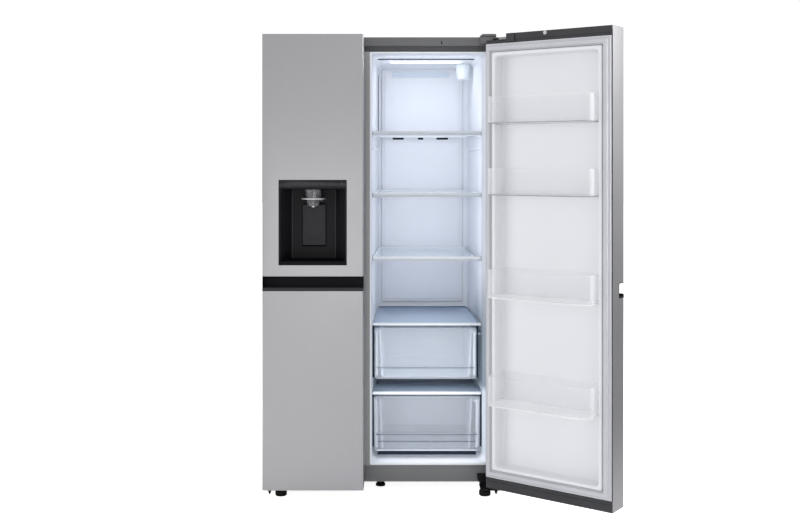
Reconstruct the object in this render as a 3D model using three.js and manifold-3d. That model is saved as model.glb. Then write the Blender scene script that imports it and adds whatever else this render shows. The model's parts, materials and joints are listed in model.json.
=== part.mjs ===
// Side by side refrigerator: a foamed steel cabinet with two cavities, a narrow
// freezer door on the left with a water and ice dispenser, and a wide fresh food
// door on the right, standing open. Millimetres, +Z up. The design coordinates put
// X = 0 on the left side, Y = 0 on the closed doors' front plane (positive to the
// back) and Z = 0 on the floor; the outer group moves that to the part's origin.

import * as THREE from 'three';
import { mergeVertices } from 'three/addons/utils/BufferGeometryUtils.js';
import Module from 'manifold-3d';

const wasm = await Module();
wasm.setup();

// ---------------------------------------------------------------- dimensions

const WIDTH = 911; // over the doors
const CASE_SIDE = 1; // case stands in from the door edges
const CASE_FRONT = 117;
const CASE_BACK = 857;
const CASE_BOTTOM = 38;
const CASE_TOP = 1766;
const SHEET = 1.5; // steel sheet, folded
const GAP = 0.3; // clearance between touching pieces

const OPEN_BOTTOM = 103;
const OPEN_TOP = 1709;
const FREEZER_OPEN = [43, 365.7];
const FRIDGE_OPEN = [405.3, 868];
const LINER = 3; // liner wall
const CAVITY_BACK = 743; // outer face of the liners' back wall

const DOOR_THICK = 96;
const DOOR_BOTTOM = 39;
const DOOR_TOP = 1765;
const FREEZER_DOOR = 383; // widths
const FRIDGE_DOOR = 523;
const HINGE_U = 22; // hinge axis from the hinge edge
const HINGE_Y = 56; // and behind the door front
const OPEN_ANGLE = 144; // fridge door, degrees

const PANEL_TOP = 1730; // inner panel up to the top cap

const GRIP_BOTTOM = 796;
const GRIP_TOP = 848;
const GRIP_DEPTH = 39;

const SHELF_TOPS = [1404, 1158, 905];
const SHELF_FRONT = 205;
const SHELF_BACK = 718;

const BIN_LEVELS = [[1423, 1525], [1157, 1257], [776, 880], [376, 484]];
const FREEZER_BIN_LEVELS = [[1400, 1502], [470, 575]];
const BIN_SIDE = 50; // bins stand in from the door's edges

const ORIGIN = [663.5, 286.18]; // X and Y of the open refrigerator's middle

// ------------------------------------------------------------------ geometry

function clean( geometry ) {

	const g = geometry.clone();
	g.deleteAttribute( 'normal' );
	g.deleteAttribute( 'uv' );
	return mergeVertices( g, 1e-4 );

}

function solid( geometry ) {

	const g = clean( geometry );
	return new wasm.Manifold( new wasm.Mesh( {
		numProp: 3,
		vertProperties: Float32Array.from( g.attributes.position.array ),
		triVerts: Uint32Array.from( g.index.array )
	} ) );

}

function unsolid( manifold ) {

	const mesh = manifold.getMesh();
	const g = new THREE.BufferGeometry();
	g.setAttribute( 'position', new THREE.BufferAttribute( Float32Array.from( mesh.vertProperties ), 3 ) );
	g.setIndex( new THREE.BufferAttribute( Uint32Array.from( mesh.triVerts ), 1 ) );
	return g;

}

function join( first, ...others ) {

	return unsolid( others.reduce( ( m, g ) => m.add( solid( g ) ), solid( first ) ) );

}

function cut( first, ...others ) {

	return unsolid( others.reduce( ( m, g ) => m.subtract( solid( g ) ), solid( first ) ) );

}

function common( a, b ) {

	return unsolid( solid( a ).intersect( solid( b ) ) );

}

function box( x0, x1, y0, y1, z0, z1 ) {

	return new THREE.BoxGeometry( x1 - x0, y1 - y0, z1 - z0 )
		.translate( ( x0 + x1 ) / 2, ( y0 + y1 ) / 2, ( z0 + z1 ) / 2 );

}

function extrude( points, depth, hole ) {

	const shape = new THREE.Shape( points.map( ( p ) => new THREE.Vector2( p[ 0 ], p[ 1 ] ) ) );
	if ( hole ) shape.holes.push( new THREE.Path( hole.map( ( p ) => new THREE.Vector2( p[ 0 ], p[ 1 ] ) ) ) );
	return new THREE.ExtrudeGeometry( shape, { depth, bevelEnabled: false } );

}

// an outline of (x, y) raised from z0 to z1
function prismZ( points, z0, z1, hole ) {

	return extrude( points, z1 - z0, hole ).translate( 0, 0, z0 );

}

// an outline of (y, z) drawn out from x0 to x1
function prismX( points, x0, x1, hole ) {

	const m = new THREE.Matrix4().set( 0, 0, 1, x0, 1, 0, 0, 0, 0, 1, 0, 0, 0, 0, 0, 1 );
	return extrude( points, x1 - x0, hole ).applyMatrix4( m );

}

// an outline of (x, z) drawn out from y0 to y1
function prismY( points, y0, y1, hole ) {

	const m = new THREE.Matrix4().set( 1, 0, 0, 0, 0, 0, - 1, y1, 0, 1, 0, 0, 0, 0, 0, 1 );
	return extrude( points, y1 - y0, hole ).applyMatrix4( m );

}

// eight corners: four of the low-y face, four of the high-y face, each [x, z]
// counter-clockwise seen from the front
function frustumY( y0, front, y1, back ) {

	const v = [];
	for ( const p of front ) v.push( p[ 0 ], y0, p[ 1 ] );
	for ( const p of back ) v.push( p[ 0 ], y1, p[ 1 ] );
	const g = new THREE.BufferGeometry();
	g.setAttribute( 'position', new THREE.BufferAttribute( new Float32Array( v ), 3 ) );
	const index = [ 0, 1, 2, 0, 2, 3, 4, 6, 5, 4, 7, 6 ];
	for ( let i = 0; i < 4; i ++ ) {

		const j = ( i + 1 ) % 4;
		index.push( i, i + 4, j, j, i + 4, j + 4 );

	}

	g.setIndex( index );
	return g;

}

function rect( x0, x1, z0, z1 ) {

	return [ [ x0, z0 ], [ x1, z0 ], [ x1, z1 ], [ x0, z1 ] ];

}

function cylinderZ( x, y, z0, z1, r, n = 20 ) {

	return new THREE.CylinderGeometry( r, r, z1 - z0, n ).rotateX( Math.PI / 2 ).translate( x, y, ( z0 + z1 ) / 2 );

}

function cylinderX( x0, x1, y, z, r, n = 20 ) {

	return new THREE.CylinderGeometry( r, r, x1 - x0, n ).rotateZ( Math.PI / 2 ).translate( ( x0 + x1 ) / 2, y, z );

}

// a profile of (radius, z) from axis to axis, turned about the vertical at (x, y)
function turned( profile, x, y, n = 24 ) {

	return new THREE.LatheGeometry( profile.map( ( p ) => new THREE.Vector2( p[ 0 ], p[ 1 ] ) ), n )
		.rotateX( Math.PI / 2 ).translate( x, y, 0 );

}

// the same piece on the other side of the refrigerator
function mirrored( geometry ) {

	const g = clean( geometry );
	const p = g.attributes.position;
	for ( let i = 0; i < p.count; i ++ ) p.setX( i, WIDTH - p.getX( i ) );
	const index = g.index.array;
	for ( let i = 0; i < index.length; i += 3 ) {

		const t = index[ i ];
		index[ i ] = index[ i + 1 ];
		index[ i + 1 ] = t;

	}

	return g;

}

// an outline moved outwards by d, corner by corner; points run counter-clockwise
function grown( points, d ) {

	const out = [];
	for ( let i = 0; i < points.length; i ++ ) {

		const a = points[ ( i + points.length - 1 ) % points.length ];
		const b = points[ i ];
		const c = points[ ( i + 1 ) % points.length ];
		const u = new THREE.Vector2( b[ 0 ] - a[ 0 ], b[ 1 ] - a[ 1 ] ).normalize();
		const v = new THREE.Vector2( c[ 0 ] - b[ 0 ], c[ 1 ] - b[ 1 ] ).normalize();
		const n = new THREE.Vector2( u.y + v.y, - u.x - v.x );
		const k = d / ( 1 + u.dot( v ) );
		out.push( [ b[ 0 ] + n.x * k, b[ 1 ] + n.y * k ] );

	}

	return out;

}

// ----------------------------------------------------------------- materials

const finish = {
	steel: { color: 0xa9a9ad, roughness: 0.36, metalness: 0.9 },
	paint: { color: 0x77787a, roughness: 0.5, metalness: 0.3 },
	galvanised: { color: 0x9ea2a4, roughness: 0.45, metalness: 0.8 },
	foam: { color: 0xe2cf9c, roughness: 0.95, metalness: 0 },
	liner: { color: 0xe6ecf4, roughness: 0.4, metalness: 0 },
	black: { color: 0x2b2b2d, roughness: 0.55, metalness: 0 },
	gloss: { color: 0x1c1c1e, roughness: 0.15, metalness: 0 },
	dark: { color: 0x3a3a3c, roughness: 0.6, metalness: 0 },
	gasket: { color: 0xbfc0c4, roughness: 0.7, metalness: 0 },
	clear: { color: 0xdfe6ee, roughness: 0.1, metalness: 0, transparent: true, opacity: 0.4 },
	glass: { color: 0xb8cbd4, roughness: 0.05, metalness: 0, transparent: true, opacity: 0.45 },
	trim: { color: 0xf2f6fa, roughness: 0.35, metalness: 0 },
	bracket: { color: 0x161617, roughness: 0.5, metalness: 0.4 },
	cover: { color: 0x58595b, roughness: 0.6, metalness: 0 },
	lens: { color: 0xffffff, roughness: 0.3, metalness: 0 },
	rubber: { color: 0x1a1a1a, roughness: 0.8, metalness: 0 },
	cast: { color: 0x202124, roughness: 0.45, metalness: 0.5 }
};
for ( const key in finish ) finish[ key ] = new THREE.MeshStandardMaterial( finish[ key ] );

function mesh( name, geometry, material, parent ) {

	const g = clean( geometry );
	g.computeVertexNormals();
	const m = new THREE.Mesh( g, finish[ material ] );
	m.name = name;
	parent.add( m );
	return m;

}

const root = new THREE.Group();
const cabinet = new THREE.Group();
root.add( cabinet );

// ------------------------------------------------------------------- cabinet

// outer steel: two sides and a top folded from one sheet, with a front return
const left = CASE_SIDE;
const right = WIDTH - CASE_SIDE;
mesh( 'cabinet_shell', cut(
	box( left, right, CASE_FRONT, CASE_BACK, CASE_BOTTOM, CASE_TOP ),
	box( left + SHEET, right - SHEET, CASE_FRONT + 4, CASE_BACK + 1, CASE_BOTTOM - 1, CASE_TOP - SHEET ),
	box( FREEZER_OPEN[ 0 ], FRIDGE_OPEN[ 1 ], CASE_FRONT - 1, CASE_FRONT + 5, CASE_BOTTOM - 1, OPEN_TOP + 23 )
), 'paint', cabinet );

// front frame: top rail, centre mullion and kick rail in one plane
const f0 = FREEZER_OPEN[ 0 ] + GAP;
const f1 = FRIDGE_OPEN[ 1 ] - GAP;
mesh( 'front_frame', prismY( [
	[ f0, CASE_BOTTOM + GAP ], [ f1, CASE_BOTTOM + GAP ], [ f1, OPEN_BOTTOM ], [ FRIDGE_OPEN[ 0 ], OPEN_BOTTOM ],
	[ FRIDGE_OPEN[ 0 ], OPEN_TOP ], [ f1, OPEN_TOP ], [ f1, OPEN_TOP + 22.7 ], [ f0, OPEN_TOP + 22.7 ],
	[ f0, OPEN_TOP ], [ FREEZER_OPEN[ 1 ], OPEN_TOP ], [ FREEZER_OPEN[ 1 ], OPEN_BOTTOM ], [ f0, OPEN_BOTTOM ]
], CASE_FRONT + 0.2, CASE_FRONT + 4 ), 'paint', cabinet );

// liners: a tub of plan and side outlines, tapering to the back, with a step over
// the machine compartment
const MACHINE_FRONT = 618;
const MACHINE_TOP = 285;
const side = [ [ CASE_FRONT + GAP, OPEN_BOTTOM + GAP ], [ 560, OPEN_BOTTOM + GAP ], [ 600, 345 ],
	[ CAVITY_BACK, 365 ], [ CAVITY_BACK, 1703 ], [ CASE_FRONT + GAP, OPEN_TOP - GAP ] ];
const fridgePlan = [ [ 405.6, 117.3 ], [ 867.7, 117.3 ], [ 867.7, 122 ], [ 867.2, 160 ], [ 849, 200 ], [ 827, CAVITY_BACK ],
	[ 421, CAVITY_BACK ], [ 407.5, 190 ], [ 405.6, 122 ] ];
const freezerPlan = [ [ 43.3, 117.3 ], [ 365.4, 117.3 ], [ 365.4, 122 ], [ 363, 190 ], [ 349, CAVITY_BACK ],
	[ 75, CAVITY_BACK ], [ 62, 200 ], [ 43.8, 160 ], [ 43.3, 122 ] ];

function tub( plan, d, front ) {

	const p = grown( plan, d );
	const s = grown( side, d );
	if ( front !== undefined ) {

		p[ 0 ][ 1 ] = p[ 1 ][ 1 ] = front;
		s[ 0 ][ 0 ] = s[ 5 ][ 0 ] = front;

	}

	return common( prismZ( p, 0, 2000 ), prismX( s, 0, WIDTH ) );

}

// inner faces of the side walls at a depth y
function wall( plan, y, which ) {

	const k = plan.findIndex( ( p ) => p[ 1 ] === CAVITY_BACK );
	const [ a, b ] = which === 'left' ? [ plan[ k + 2 ], plan[ k + 1 ] ] : [ plan[ k - 1 ], plan[ k ] ];
	const x = a[ 0 ] + ( b[ 0 ] - a[ 0 ] ) * ( y - a[ 1 ] ) / ( b[ 1 ] - a[ 1 ] );
	return which === 'left' ? x + LINER : x - LINER;

}

// a support moulded on a side wall; reach is its width, or edge its straight inner face
function support( plan, which, y0, y1, z0, z1, { reach, edge } ) {

	const s = which === 'left' ? 1 : - 1;
	const w0 = wall( plan, y0, which );
	const w1 = wall( plan, y1, which );
	const a = [ w0 - s, w1 - s ];
	const b = reach ? [ w0 + s * reach, w1 + s * reach ] : [ edge, edge ];
	return prismZ( [ [ a[ 0 ], y0 ], [ b[ 0 ], y0 ], [ b[ 1 ], y1 ], [ a[ 1 ], y1 ] ], z0, z1 );

}

const fridgeSupports = [];
for ( const s of [ 'left', 'right' ] ) {

	for ( const top of SHELF_TOPS ) fridgeSupports.push( support( fridgePlan, s, 222, 712, top - 21.5, top - 15.3, { reach: 9 } ) );
	fridgeSupports.push( support( fridgePlan, s, 222, 690, 628, 635.7, { reach: 9 } ) );
	fridgeSupports.push( support( fridgePlan, s, 222, 640, 354.5, 360.7, { reach: 9 } ) );
	fridgeSupports.push( support( fridgePlan, s, 222, 690, 593.6, 599.6, { edge: s === 'left' ? 433 : 813 } ) );
	fridgeSupports.push( support( fridgePlan, s, 222, 585, 323.6, 329.6, { edge: s === 'left' ? 433 : 813 } ) );

}

mesh( 'fridge_liner', join( cut( tub( fridgePlan, 0 ), tub( fridgePlan, - LINER, 110 ) ), ...fridgeSupports ), 'liner', cabinet );

const freezerSupports = [];
for ( const s of [ 'left', 'right' ] ) {

	freezerSupports.push( support( freezerPlan, s, 222, 690, 1323, 1329.7, { reach: 14 } ) );
	freezerSupports.push( support( freezerPlan, s, 222, 712, 1053, 1059.7, { reach: 9 } ) );
	freezerSupports.push( support( freezerPlan, s, 222, 585, 323.6, 329.6, { edge: s === 'left' ? 91 : 331 } ) );

}

mesh( 'freezer_liner', join( cut( tub( freezerPlan, 0 ), tub( freezerPlan, - LINER, 110 ) ), ...freezerSupports ), 'liner', cabinet );

// foam between the shell and the liners
mesh( 'insulation_foam', cut(
	box( left + SHEET + GAP, right - SHEET - GAP, CASE_FRONT + 4.3, CASE_BACK - 2.3, CASE_BOTTOM + 2.6, CASE_TOP - SHEET - GAP ),
	tub( fridgePlan, GAP, 110 ), tub( freezerPlan, GAP, 110 ),
	box( 25, WIDTH - 25, MACHINE_FRONT, CASE_BACK + 5, 0, MACHINE_TOP + GAP )
), 'foam', cabinet );

mesh( 'rear_panel', box( left + SHEET + GAP, right - SHEET - GAP, CASE_BACK - 2, CASE_BACK, MACHINE_TOP + 0.5, CASE_TOP - SHEET - GAP ), 'galvanised', cabinet );

// machine compartment cover, with cooling slots and the recessed power inlet
const slots = [];
for ( let i = 0; i < 4; i ++ ) slots.push( box( 330 + i * 120, 420 + i * 120, 850, 860, 110, 122 ), box( 330 + i * 120, 420 + i * 120, 850, 860, 190, 202 ) );
mesh( 'machine_cover', cut(
	join( box( left + SHEET + GAP, right - SHEET - GAP, CASE_BACK - 2, CASE_BACK, 42, MACHINE_TOP ),
		box( 118, 172, CASE_BACK - 24, CASE_BACK - 1, 95, 135 ) ),
	box( 121, 169, CASE_BACK - 20, CASE_BACK + 1, 98, 132 ), ...slots
), 'galvanised', cabinet );

// base pan with the centre support and the rear roller brackets
const ROLLER = { x: 70, y: 800, z: 18, r: 18 };
const pan = [ box( left + SHEET + GAP, right - SHEET - GAP, CASE_FRONT + 7, CASE_BACK - 0.5, CASE_BOTTOM + 0.3, CASE_BOTTOM + 2.3 ),
	turned( [ [ 0, 0 ], [ 19, 0 ], [ 19, 7 ], [ 13, 16 ], [ 13, 39 ], [ 0, 39 ] ], 444, 200, 20 ) ];
for ( const x of [ ROLLER.x - 15, ROLLER.x + 12, WIDTH - ROLLER.x - 15, WIDTH - ROLLER.x + 12 ] ) pan.push( box( x, x + 3, 783, 817, 8, 39 ) );
mesh( 'base_pan', cut( join( ...pan ),
	cylinderX( 40, 100, ROLLER.y, ROLLER.z, 4.7 ), cylinderX( WIDTH - 100, WIDTH - 40, ROLLER.y, ROLLER.z, 4.7 ) ), 'bracket', cabinet );

const roller = join( cylinderX( ROLLER.x - 11, ROLLER.x + 11, ROLLER.y, ROLLER.z, ROLLER.r, 28 ),
	cylinderX( ROLLER.x - 17, ROLLER.x + 17, ROLLER.y, ROLLER.z, 4, 16 ) );
mesh( 'rear_roller_left', roller, 'rubber', cabinet );
mesh( 'rear_roller_right', mirrored( roller ), 'rubber', cabinet );

// sealed compressor on the pan
mesh( 'compressor', turned( [ [ 0, 40.8 ], [ 52, 40.8 ], [ 70, 58 ], [ 78, 86 ], [ 78, 140 ], [ 68, 176 ], [ 44, 200 ], [ 0, 208 ] ], 235, 735, 24 ), 'cast', cabinet );

// ------------------------------------------------------------------- hinges

const HX = WIDTH - HINGE_U;

// top: plate on the case, a step down over the front and an arm to the pin
const topHinge = join(
	box( 838, 892, 124, 214, CASE_TOP + GAP, CASE_TOP + 3.3 ),
	box( 872, 892, 110, 126, CASE_TOP + GAP, CASE_TOP + 3.3 ),
	box( 872, 892, 110, 113.5, 1750, CASE_TOP + 3.3 ),
	box( HX - 11, HX + 11, HINGE_Y, 113.5, 1750, 1753.6 ),
	cylinderZ( HX, HINGE_Y, 1750, 1753.6, 11, 24 ),
	cylinderZ( HX, HINGE_Y, 1729, 1752, 6, 16 )
);
mesh( 'top_hinge_right', topHinge, 'bracket', cabinet );
mesh( 'top_hinge_left', mirrored( topHinge ), 'bracket', cabinet );

// plastic cover over it
const hingeCover = cut(
	join( box( 832, 895, 105, 225, CASE_TOP + GAP, 1778 ), box( 832, 895, 105, CASE_FRONT - GAP, 1739, CASE_TOP + 1 ) ),
	box( 836, 893.5, 123, 216, CASE_TOP - 1, CASE_TOP + 4.5 ),
	box( 870, 893.5, 108.5, 125, CASE_TOP - 4, CASE_TOP + 4.5 ),
	box( 870, 893.5, 108.5, 115, 1748, CASE_TOP + 4.5 ),
	box( 876, 900, 100, 115, 1748, 1756 ),
	prismY( [ [ 830, 1771 ], [ 841, 1779.8 ], [ 830, 1779.8 ] ], 100, 230 )
);
mesh( 'hinge_cover_right', hingeCover, 'cover', cabinet );
mesh( 'hinge_cover_left', mirrored( hingeCover ), 'cover', cabinet );

// bottom: angle bracket on the kick rail, carrying the door pin and the front foot
const FOOT = [ 847, 72 ];
const bottomHinge = cut( join(
	prismY( [ [ 833, 28 ], [ 903, 28 ], [ 903, 72 ], [ 819, 72 ], [ 822, 50 ] ], 112, CASE_FRONT - GAP ),
	box( 828, 903, 34, 113, 28, 33 ),
	turned( [ [ 0, 10 ], [ 3, 10 ], [ 9, 28 ], [ 9, 30 ], [ 6, 34 ], [ 6, 51 ], [ 0, 51 ] ], HX, HINGE_Y, 16 )
), cylinderZ( FOOT[ 0 ], FOOT[ 1 ], 20, 40, 6.5, 16 ) );
mesh( 'bottom_hinge_right', bottomHinge, 'bracket', cabinet );
mesh( 'bottom_hinge_left', mirrored( bottomHinge ), 'bracket', cabinet );

const foot = turned( [ [ 0, 0 ], [ 19, 0 ], [ 22.5, 3 ], [ 22.5, 17 ], [ 18, 25 ], [ 9, 27.5 ], [ 5.8, 27.5 ], [ 5.8, 36 ], [ 0, 36 ] ], FOOT[ 0 ], FOOT[ 1 ], 24 );
mesh( 'leveling_foot_right', foot, 'rubber', cabinet );
mesh( 'leveling_foot_left', mirrored( foot ), 'rubber', cabinet );

// --------------------------------------------------------- fresh food cavity

function shelfOutline( plan, y0, y1, inset, leftGap = 2, rightGap = 4 ) {

	return [ [ wall( plan, y0, 'left' ) + leftGap + inset, y0 ], [ wall( plan, y0, 'right' ) - rightGap - inset, y0 ],
		[ wall( plan, y1, 'right' ) - rightGap - inset, y1 ], [ wall( plan, y1, 'left' ) + leftGap + inset, y1 ] ];

}

function frontBar( plan, y0, y1, z0, z1, rightGap = 4 ) {

	return prismZ( shelfOutline( plan, y0, y1, 0, 2, rightGap ), z0, z1 );

}

SHELF_TOPS.forEach( ( top, i ) => {

	mesh( `shelf_${ i + 1 }_frame`, cut(
		join( prismZ( shelfOutline( fridgePlan, SHELF_FRONT, SHELF_BACK, 0 ), top - 15, top - 2 ),
			frontBar( fridgePlan, SHELF_FRONT, SHELF_FRONT + 11, top - 18, top ) ),
		prismZ( shelfOutline( fridgePlan, SHELF_FRONT + 11, SHELF_BACK - 7, 7 ), top - 8.3, top + 1 ),
		prismZ( shelfOutline( fridgePlan, SHELF_FRONT + 16, SHELF_BACK - 12, 12 ), top - 20, top + 1 )
	), 'trim', cabinet );
	mesh( `shelf_${ i + 1 }_glass`, prismZ( shelfOutline( fridgePlan, SHELF_FRONT + 11.3, SHELF_BACK - 7.3, 7.3 ), top - 8, top - 4 ), 'glass', cabinet );

} );

mesh( 'upper_crisper_cover', join( prismZ( shelfOutline( fridgePlan, 210, 700, 0 ), 636, 641.5 ),
	frontBar( fridgePlan, 203, 214, 633, 643 ) ), 'glass', cabinet );
mesh( 'lower_crisper_cover', join( prismZ( shelfOutline( fridgePlan, 210, 640, 0 ), 361, 368.5 ),
	frontBar( fridgePlan, 203, 214, 358, 370 ) ), 'glass', cabinet );

// drawers hang by side flanges on the liner's rails
function drawer( front, z0, z1, x0, x1, flange, back ) {

	return cut(
		join( prismY( front, 205, 211 ), box( x0, x1, 209, back, z0 + 5, z1 - 11 ),
			box( x0 - 6.5, x1 + 6.5, 216, back, flange, flange + 3 ) ),
		box( x0 + 2.5, x1 - 2.5, 212, back - 2.5, z0 + 8, z1 + 5 )
	);

}

mesh( 'upper_crisper', drawer( rect( 421, 824, 420, 623 ), 420, 623, 436, 810, 600, 640 ), 'clear', cabinet );
mesh( 'lower_crisper', drawer( [ [ 419, 134 ], [ 835, 134 ], [ 838, 351 ], [ 416, 351 ] ], 134, 351, 436, 810, 330, 546 ), 'clear', cabinet );

// duct cover on the back wall, with three air slots
mesh( 'duct_cover', cut( box( 440, 799, 726, 739.6, 660, 1692 ),
	box( 488, 538, 720, 745, 1386, 1400 ), box( 600, 625, 720, 745, 1386, 1400 ), box( 683, 735, 720, 745, 1386, 1400 ) ), 'liner', cabinet );

mesh( 'lamp_lens', box( 480, 779, 430, 468, 1696, 1701.5 ), 'lens', cabinet );

mesh( 'water_filter', turned( [ [ 0, 1633 ], [ 24, 1633 ], [ 28, 1637 ], [ 34, 1680 ], [ 35.5, 1690 ], [ 35.5, 1700.6 ], [ 0, 1700.6 ] ], 792, 550, 24 ), 'trim', cabinet );

// ------------------------------------------------------------ freezer cavity

mesh( 'ice_maker', prismX( [ [ 205, 1400 ], [ 245, 1330 ], [ 690, 1330 ], [ 690, 1610 ], [ 640, 1660 ], [ 215, 1660 ], [ 205, 1650 ] ], 90, 332 ), 'clear', cabinet );
mesh( 'freezer_shelf', join( prismZ( shelfOutline( freezerPlan, 210, 700, 0, 2, 2 ), 1060, 1066 ),
	frontBar( freezerPlan, 205, 216, 1056, 1074, 2 ) ), 'glass', cabinet );
mesh( 'freezer_basket', drawer( rect( 76, 346, 140, 348 ), 140, 348, 94, 328, 330, 546 ), 'clear', cabinet );

// -------------------------------------------------------------------- doors

// Door pieces are drawn with X = u, the distance from the hinge edge.

function doorOutline( w, d ) {

	const c = 4 + d * 0.6;
	return [ [ d, DOOR_THICK - 0.4 ], [ d, d + c ], [ d + c, d ], [ w - d - c, d ], [ w - d, d + c ], [ w - d, DOOR_THICK - 0.4 ] ];

}

function skin( w, z0, z1 ) {

	const a = [ [ 0, 95.9 ], [ 0, 4 ], [ 4, 0 ], [ w - 4, 0 ], [ w, 4 ], [ w, 95.9 ] ];
	const b = [ [ w - 1.5, 95.9 ], [ w - 1.5, 4.6 ], [ w - 4.6, 1.5 ], [ 4.6, 1.5 ], [ 1.5, 4.6 ], [ 1.5, 95.9 ] ];
	return prismZ( [ ...a, ...b ], z0, z1 );

}

function door( w, place ) {

	const parts = {};

	// steel skins: front sheet with both side returns; the lower one's returns run
	// up beside the grip
	parts.skin_upper = cut( skin( w, GRIP_TOP + GAP, DOOR_TOP ), box( - 1, 2.2, 4.4, 97, 1743, DOOR_TOP + 1 ) );
	parts.skin_lower = cut( skin( w, DOOR_BOTTOM, GRIP_TOP ), box( - 1, w + 1, - 1, GRIP_DEPTH + 2.8, GRIP_BOTTOM - GAP, GRIP_TOP + 1 ) );

	// pocket grip across the full width
	parts.grip = prismX( [ [ 0.4, 796.2 ], [ 41.5, 796.2 ], [ 41.5, 848 ], [ 1.8, 848 ], [ 1.8, 846 ], [ GRIP_DEPTH, 846 ],
		[ GRIP_DEPTH, 801 ], [ 16, 801 ], [ 14, 813 ], [ 8, 813 ], [ 0.4, 804 ] ], 0, w );

	const outline = doorOutline( w, 1.8 );
	parts.top_cap = cut( prismZ( outline, PANEL_TOP, DOOR_TOP - GAP ),
		box( - 1, 90, - 1, 97, 1744, DOOR_TOP + 1 ),
		cylinderZ( HINGE_U, HINGE_Y, 1727.5, 1750, 6.6, 16 ) );
	parts.bottom_cap = cut( prismZ( outline, DOOR_BOTTOM + GAP, 81 ), cylinderZ( HINGE_U, HINGE_Y, 30, 53, 6.6, 16 ) );

	// foamed liner panel, with a dike round a recess that holds the bins
	parts.liner = cut( join( prismZ( outline, 81.3, PANEL_TOP - GAP ), box( 34, w - 34, 90, 110, 115, 1696 ) ),
		box( BIN_SIDE - 0.4, w - BIN_SIDE + 0.4, 52, 130, 129, 1681 ),
		cylinderZ( HINGE_U, HINGE_Y, 1727.5, 1740, 6.6, 16 ),
		box( - 1, w + 1, - 1, GRIP_DEPTH + 2.8, GRIP_BOTTOM - 0.4, GRIP_TOP + 0.6 ) );

	// magnetic gasket: a wide base and a narrower crest
	const ring = ( y0, y1, a, b ) => prismY( rect( a, w - a, 81 + a, PANEL_TOP - a ), y0, y1, rect( b, w - b, 81 + b, PANEL_TOP - b ) );
	parts.gasket = join( ring( 95.9, 105, 3, 33 ), ring( 104, 115.2, 13, 28 ) );

	return Object.fromEntries( Object.entries( parts ).map( ( [ k, g ] ) => [ k, place( g ) ] ) );

}

function bin( w, z0, z1, front ) {

	const outline = ( d ) => {

		const x0 = BIN_SIDE + d;
		const x1 = w - BIN_SIDE - d;
		const r = 40 - d;
		const y1 = front - d;
		const p = [ [ x0, 54.3 + d ], [ x1, 54.3 + d ] ];
		for ( let i = 0; i <= 5; i ++ ) p.push( [ x1 - r + r * Math.cos( i * Math.PI / 10 ), y1 - r + r * Math.sin( i * Math.PI / 10 ) ] );
		for ( let i = 5; i >= 0; i -- ) p.push( [ x0 + r - r * Math.cos( i * Math.PI / 10 ), y1 - r + r * Math.sin( i * Math.PI / 10 ) ] );
		return p;

	};

	return cut( prismZ( outline( 0 ), z0, z1 ), prismZ( outline( 2.6 ), z0 + 3, z1 + 1 ) );

}

const same = ( g ) => g;
const doorMaterials = { skin_upper: 'steel', skin_lower: 'steel', grip: 'black', top_cap: 'dark', bottom_cap: 'dark', liner: 'liner', gasket: 'gasket' };

// freezer door, closed
const freezerDoor = new THREE.Group();
root.add( freezerDoor );
const fz = door( FREEZER_DOOR, same );

// dispenser: housing, control panel, chute, push pad and drip tray
const DISP = { u0: 62, u1: 320, z0: 890, z1: 1213 };
const dispFront = rect( 66.5, 315.5, 893, 1182.6 );
const dispBack = rect( 98, 281, 897, 1182.6 );
fz.skin_upper = cut( fz.skin_upper, box( DISP.u0, DISP.u1, - 2, 5, DISP.z0, DISP.z1 ) );
fz.liner = cut( join( fz.liner, frustumY( 50, rect( 74, 309, 868, 1240 ), 140, rect( 86, 297, 880, 1228 ) ) ),
	box( DISP.u0, DISP.u1, - 2, 6.3, DISP.z0, DISP.z1 ),
	frustumY( 6, grown( dispFront, 0.4 ), 95.4, grown( dispBack, 0.4 ) ) );
const housing = cut(
	join( box( DISP.u0 + GAP, DISP.u1 - GAP, - 0.8, 6, DISP.z0 + GAP, DISP.z1 - GAP ), frustumY( 5.8, dispFront, 95, dispBack ) ),
	frustumY( - 2, rect( 70, 312, 905, 1179 ), 78, rect( 103, 276, 905, 1176 ) ),
	box( 143.5, 238.5, 70, 91.5, 954, 1123 ),
	box( DISP.u0 - 1, DISP.u1 + 1, - 3, 4, 1183, DISP.z1 )
);

for ( const [ k, g ] of Object.entries( fz ) ) mesh( `freezer_door_${ k }`, g, doorMaterials[ k ], freezerDoor );
mesh( 'dispenser_housing', housing, 'black', freezerDoor );
mesh( 'dispenser_panel', box( 62.6, 319.4, - 1.6, 3.7, 1183.3, 1212.4 ), 'gloss', freezerDoor );
mesh( 'dispenser_chute', turned( [ [ 0, 1113 ], [ 23, 1113 ], [ 27, 1137 ], [ 45, 1138 ], [ 46, 1140.5 ], [ 45, 1143 ], [ 29, 1144 ], [ 31, 1176 ], [ 0, 1176 ] ], 0, 0, 24 )
	.scale( 1, 0.75, 1 ).translate( 191, 38, 0 ), 'gloss', freezerDoor );
mesh( 'dispenser_pad', join( box( 146.5, 235.5, 71, 75, 961, 1115 ), cylinderX( 146.5, 235.5, 75, 1115, 4, 16 ) ), 'dark', freezerDoor );
mesh( 'drip_tray', prismZ( [ [ 76, 8 ], [ 306, 8 ], [ 280, 68 ], [ 102, 68 ] ], 905.3, 911 ), 'gloss', freezerDoor );
FREEZER_BIN_LEVELS.forEach( ( [ z0, z1 ], i ) => mesh( `freezer_door_bin_${ i + 1 }`, bin( FREEZER_DOOR, z0, z1, 178 ), 'clear', freezerDoor ) );

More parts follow.
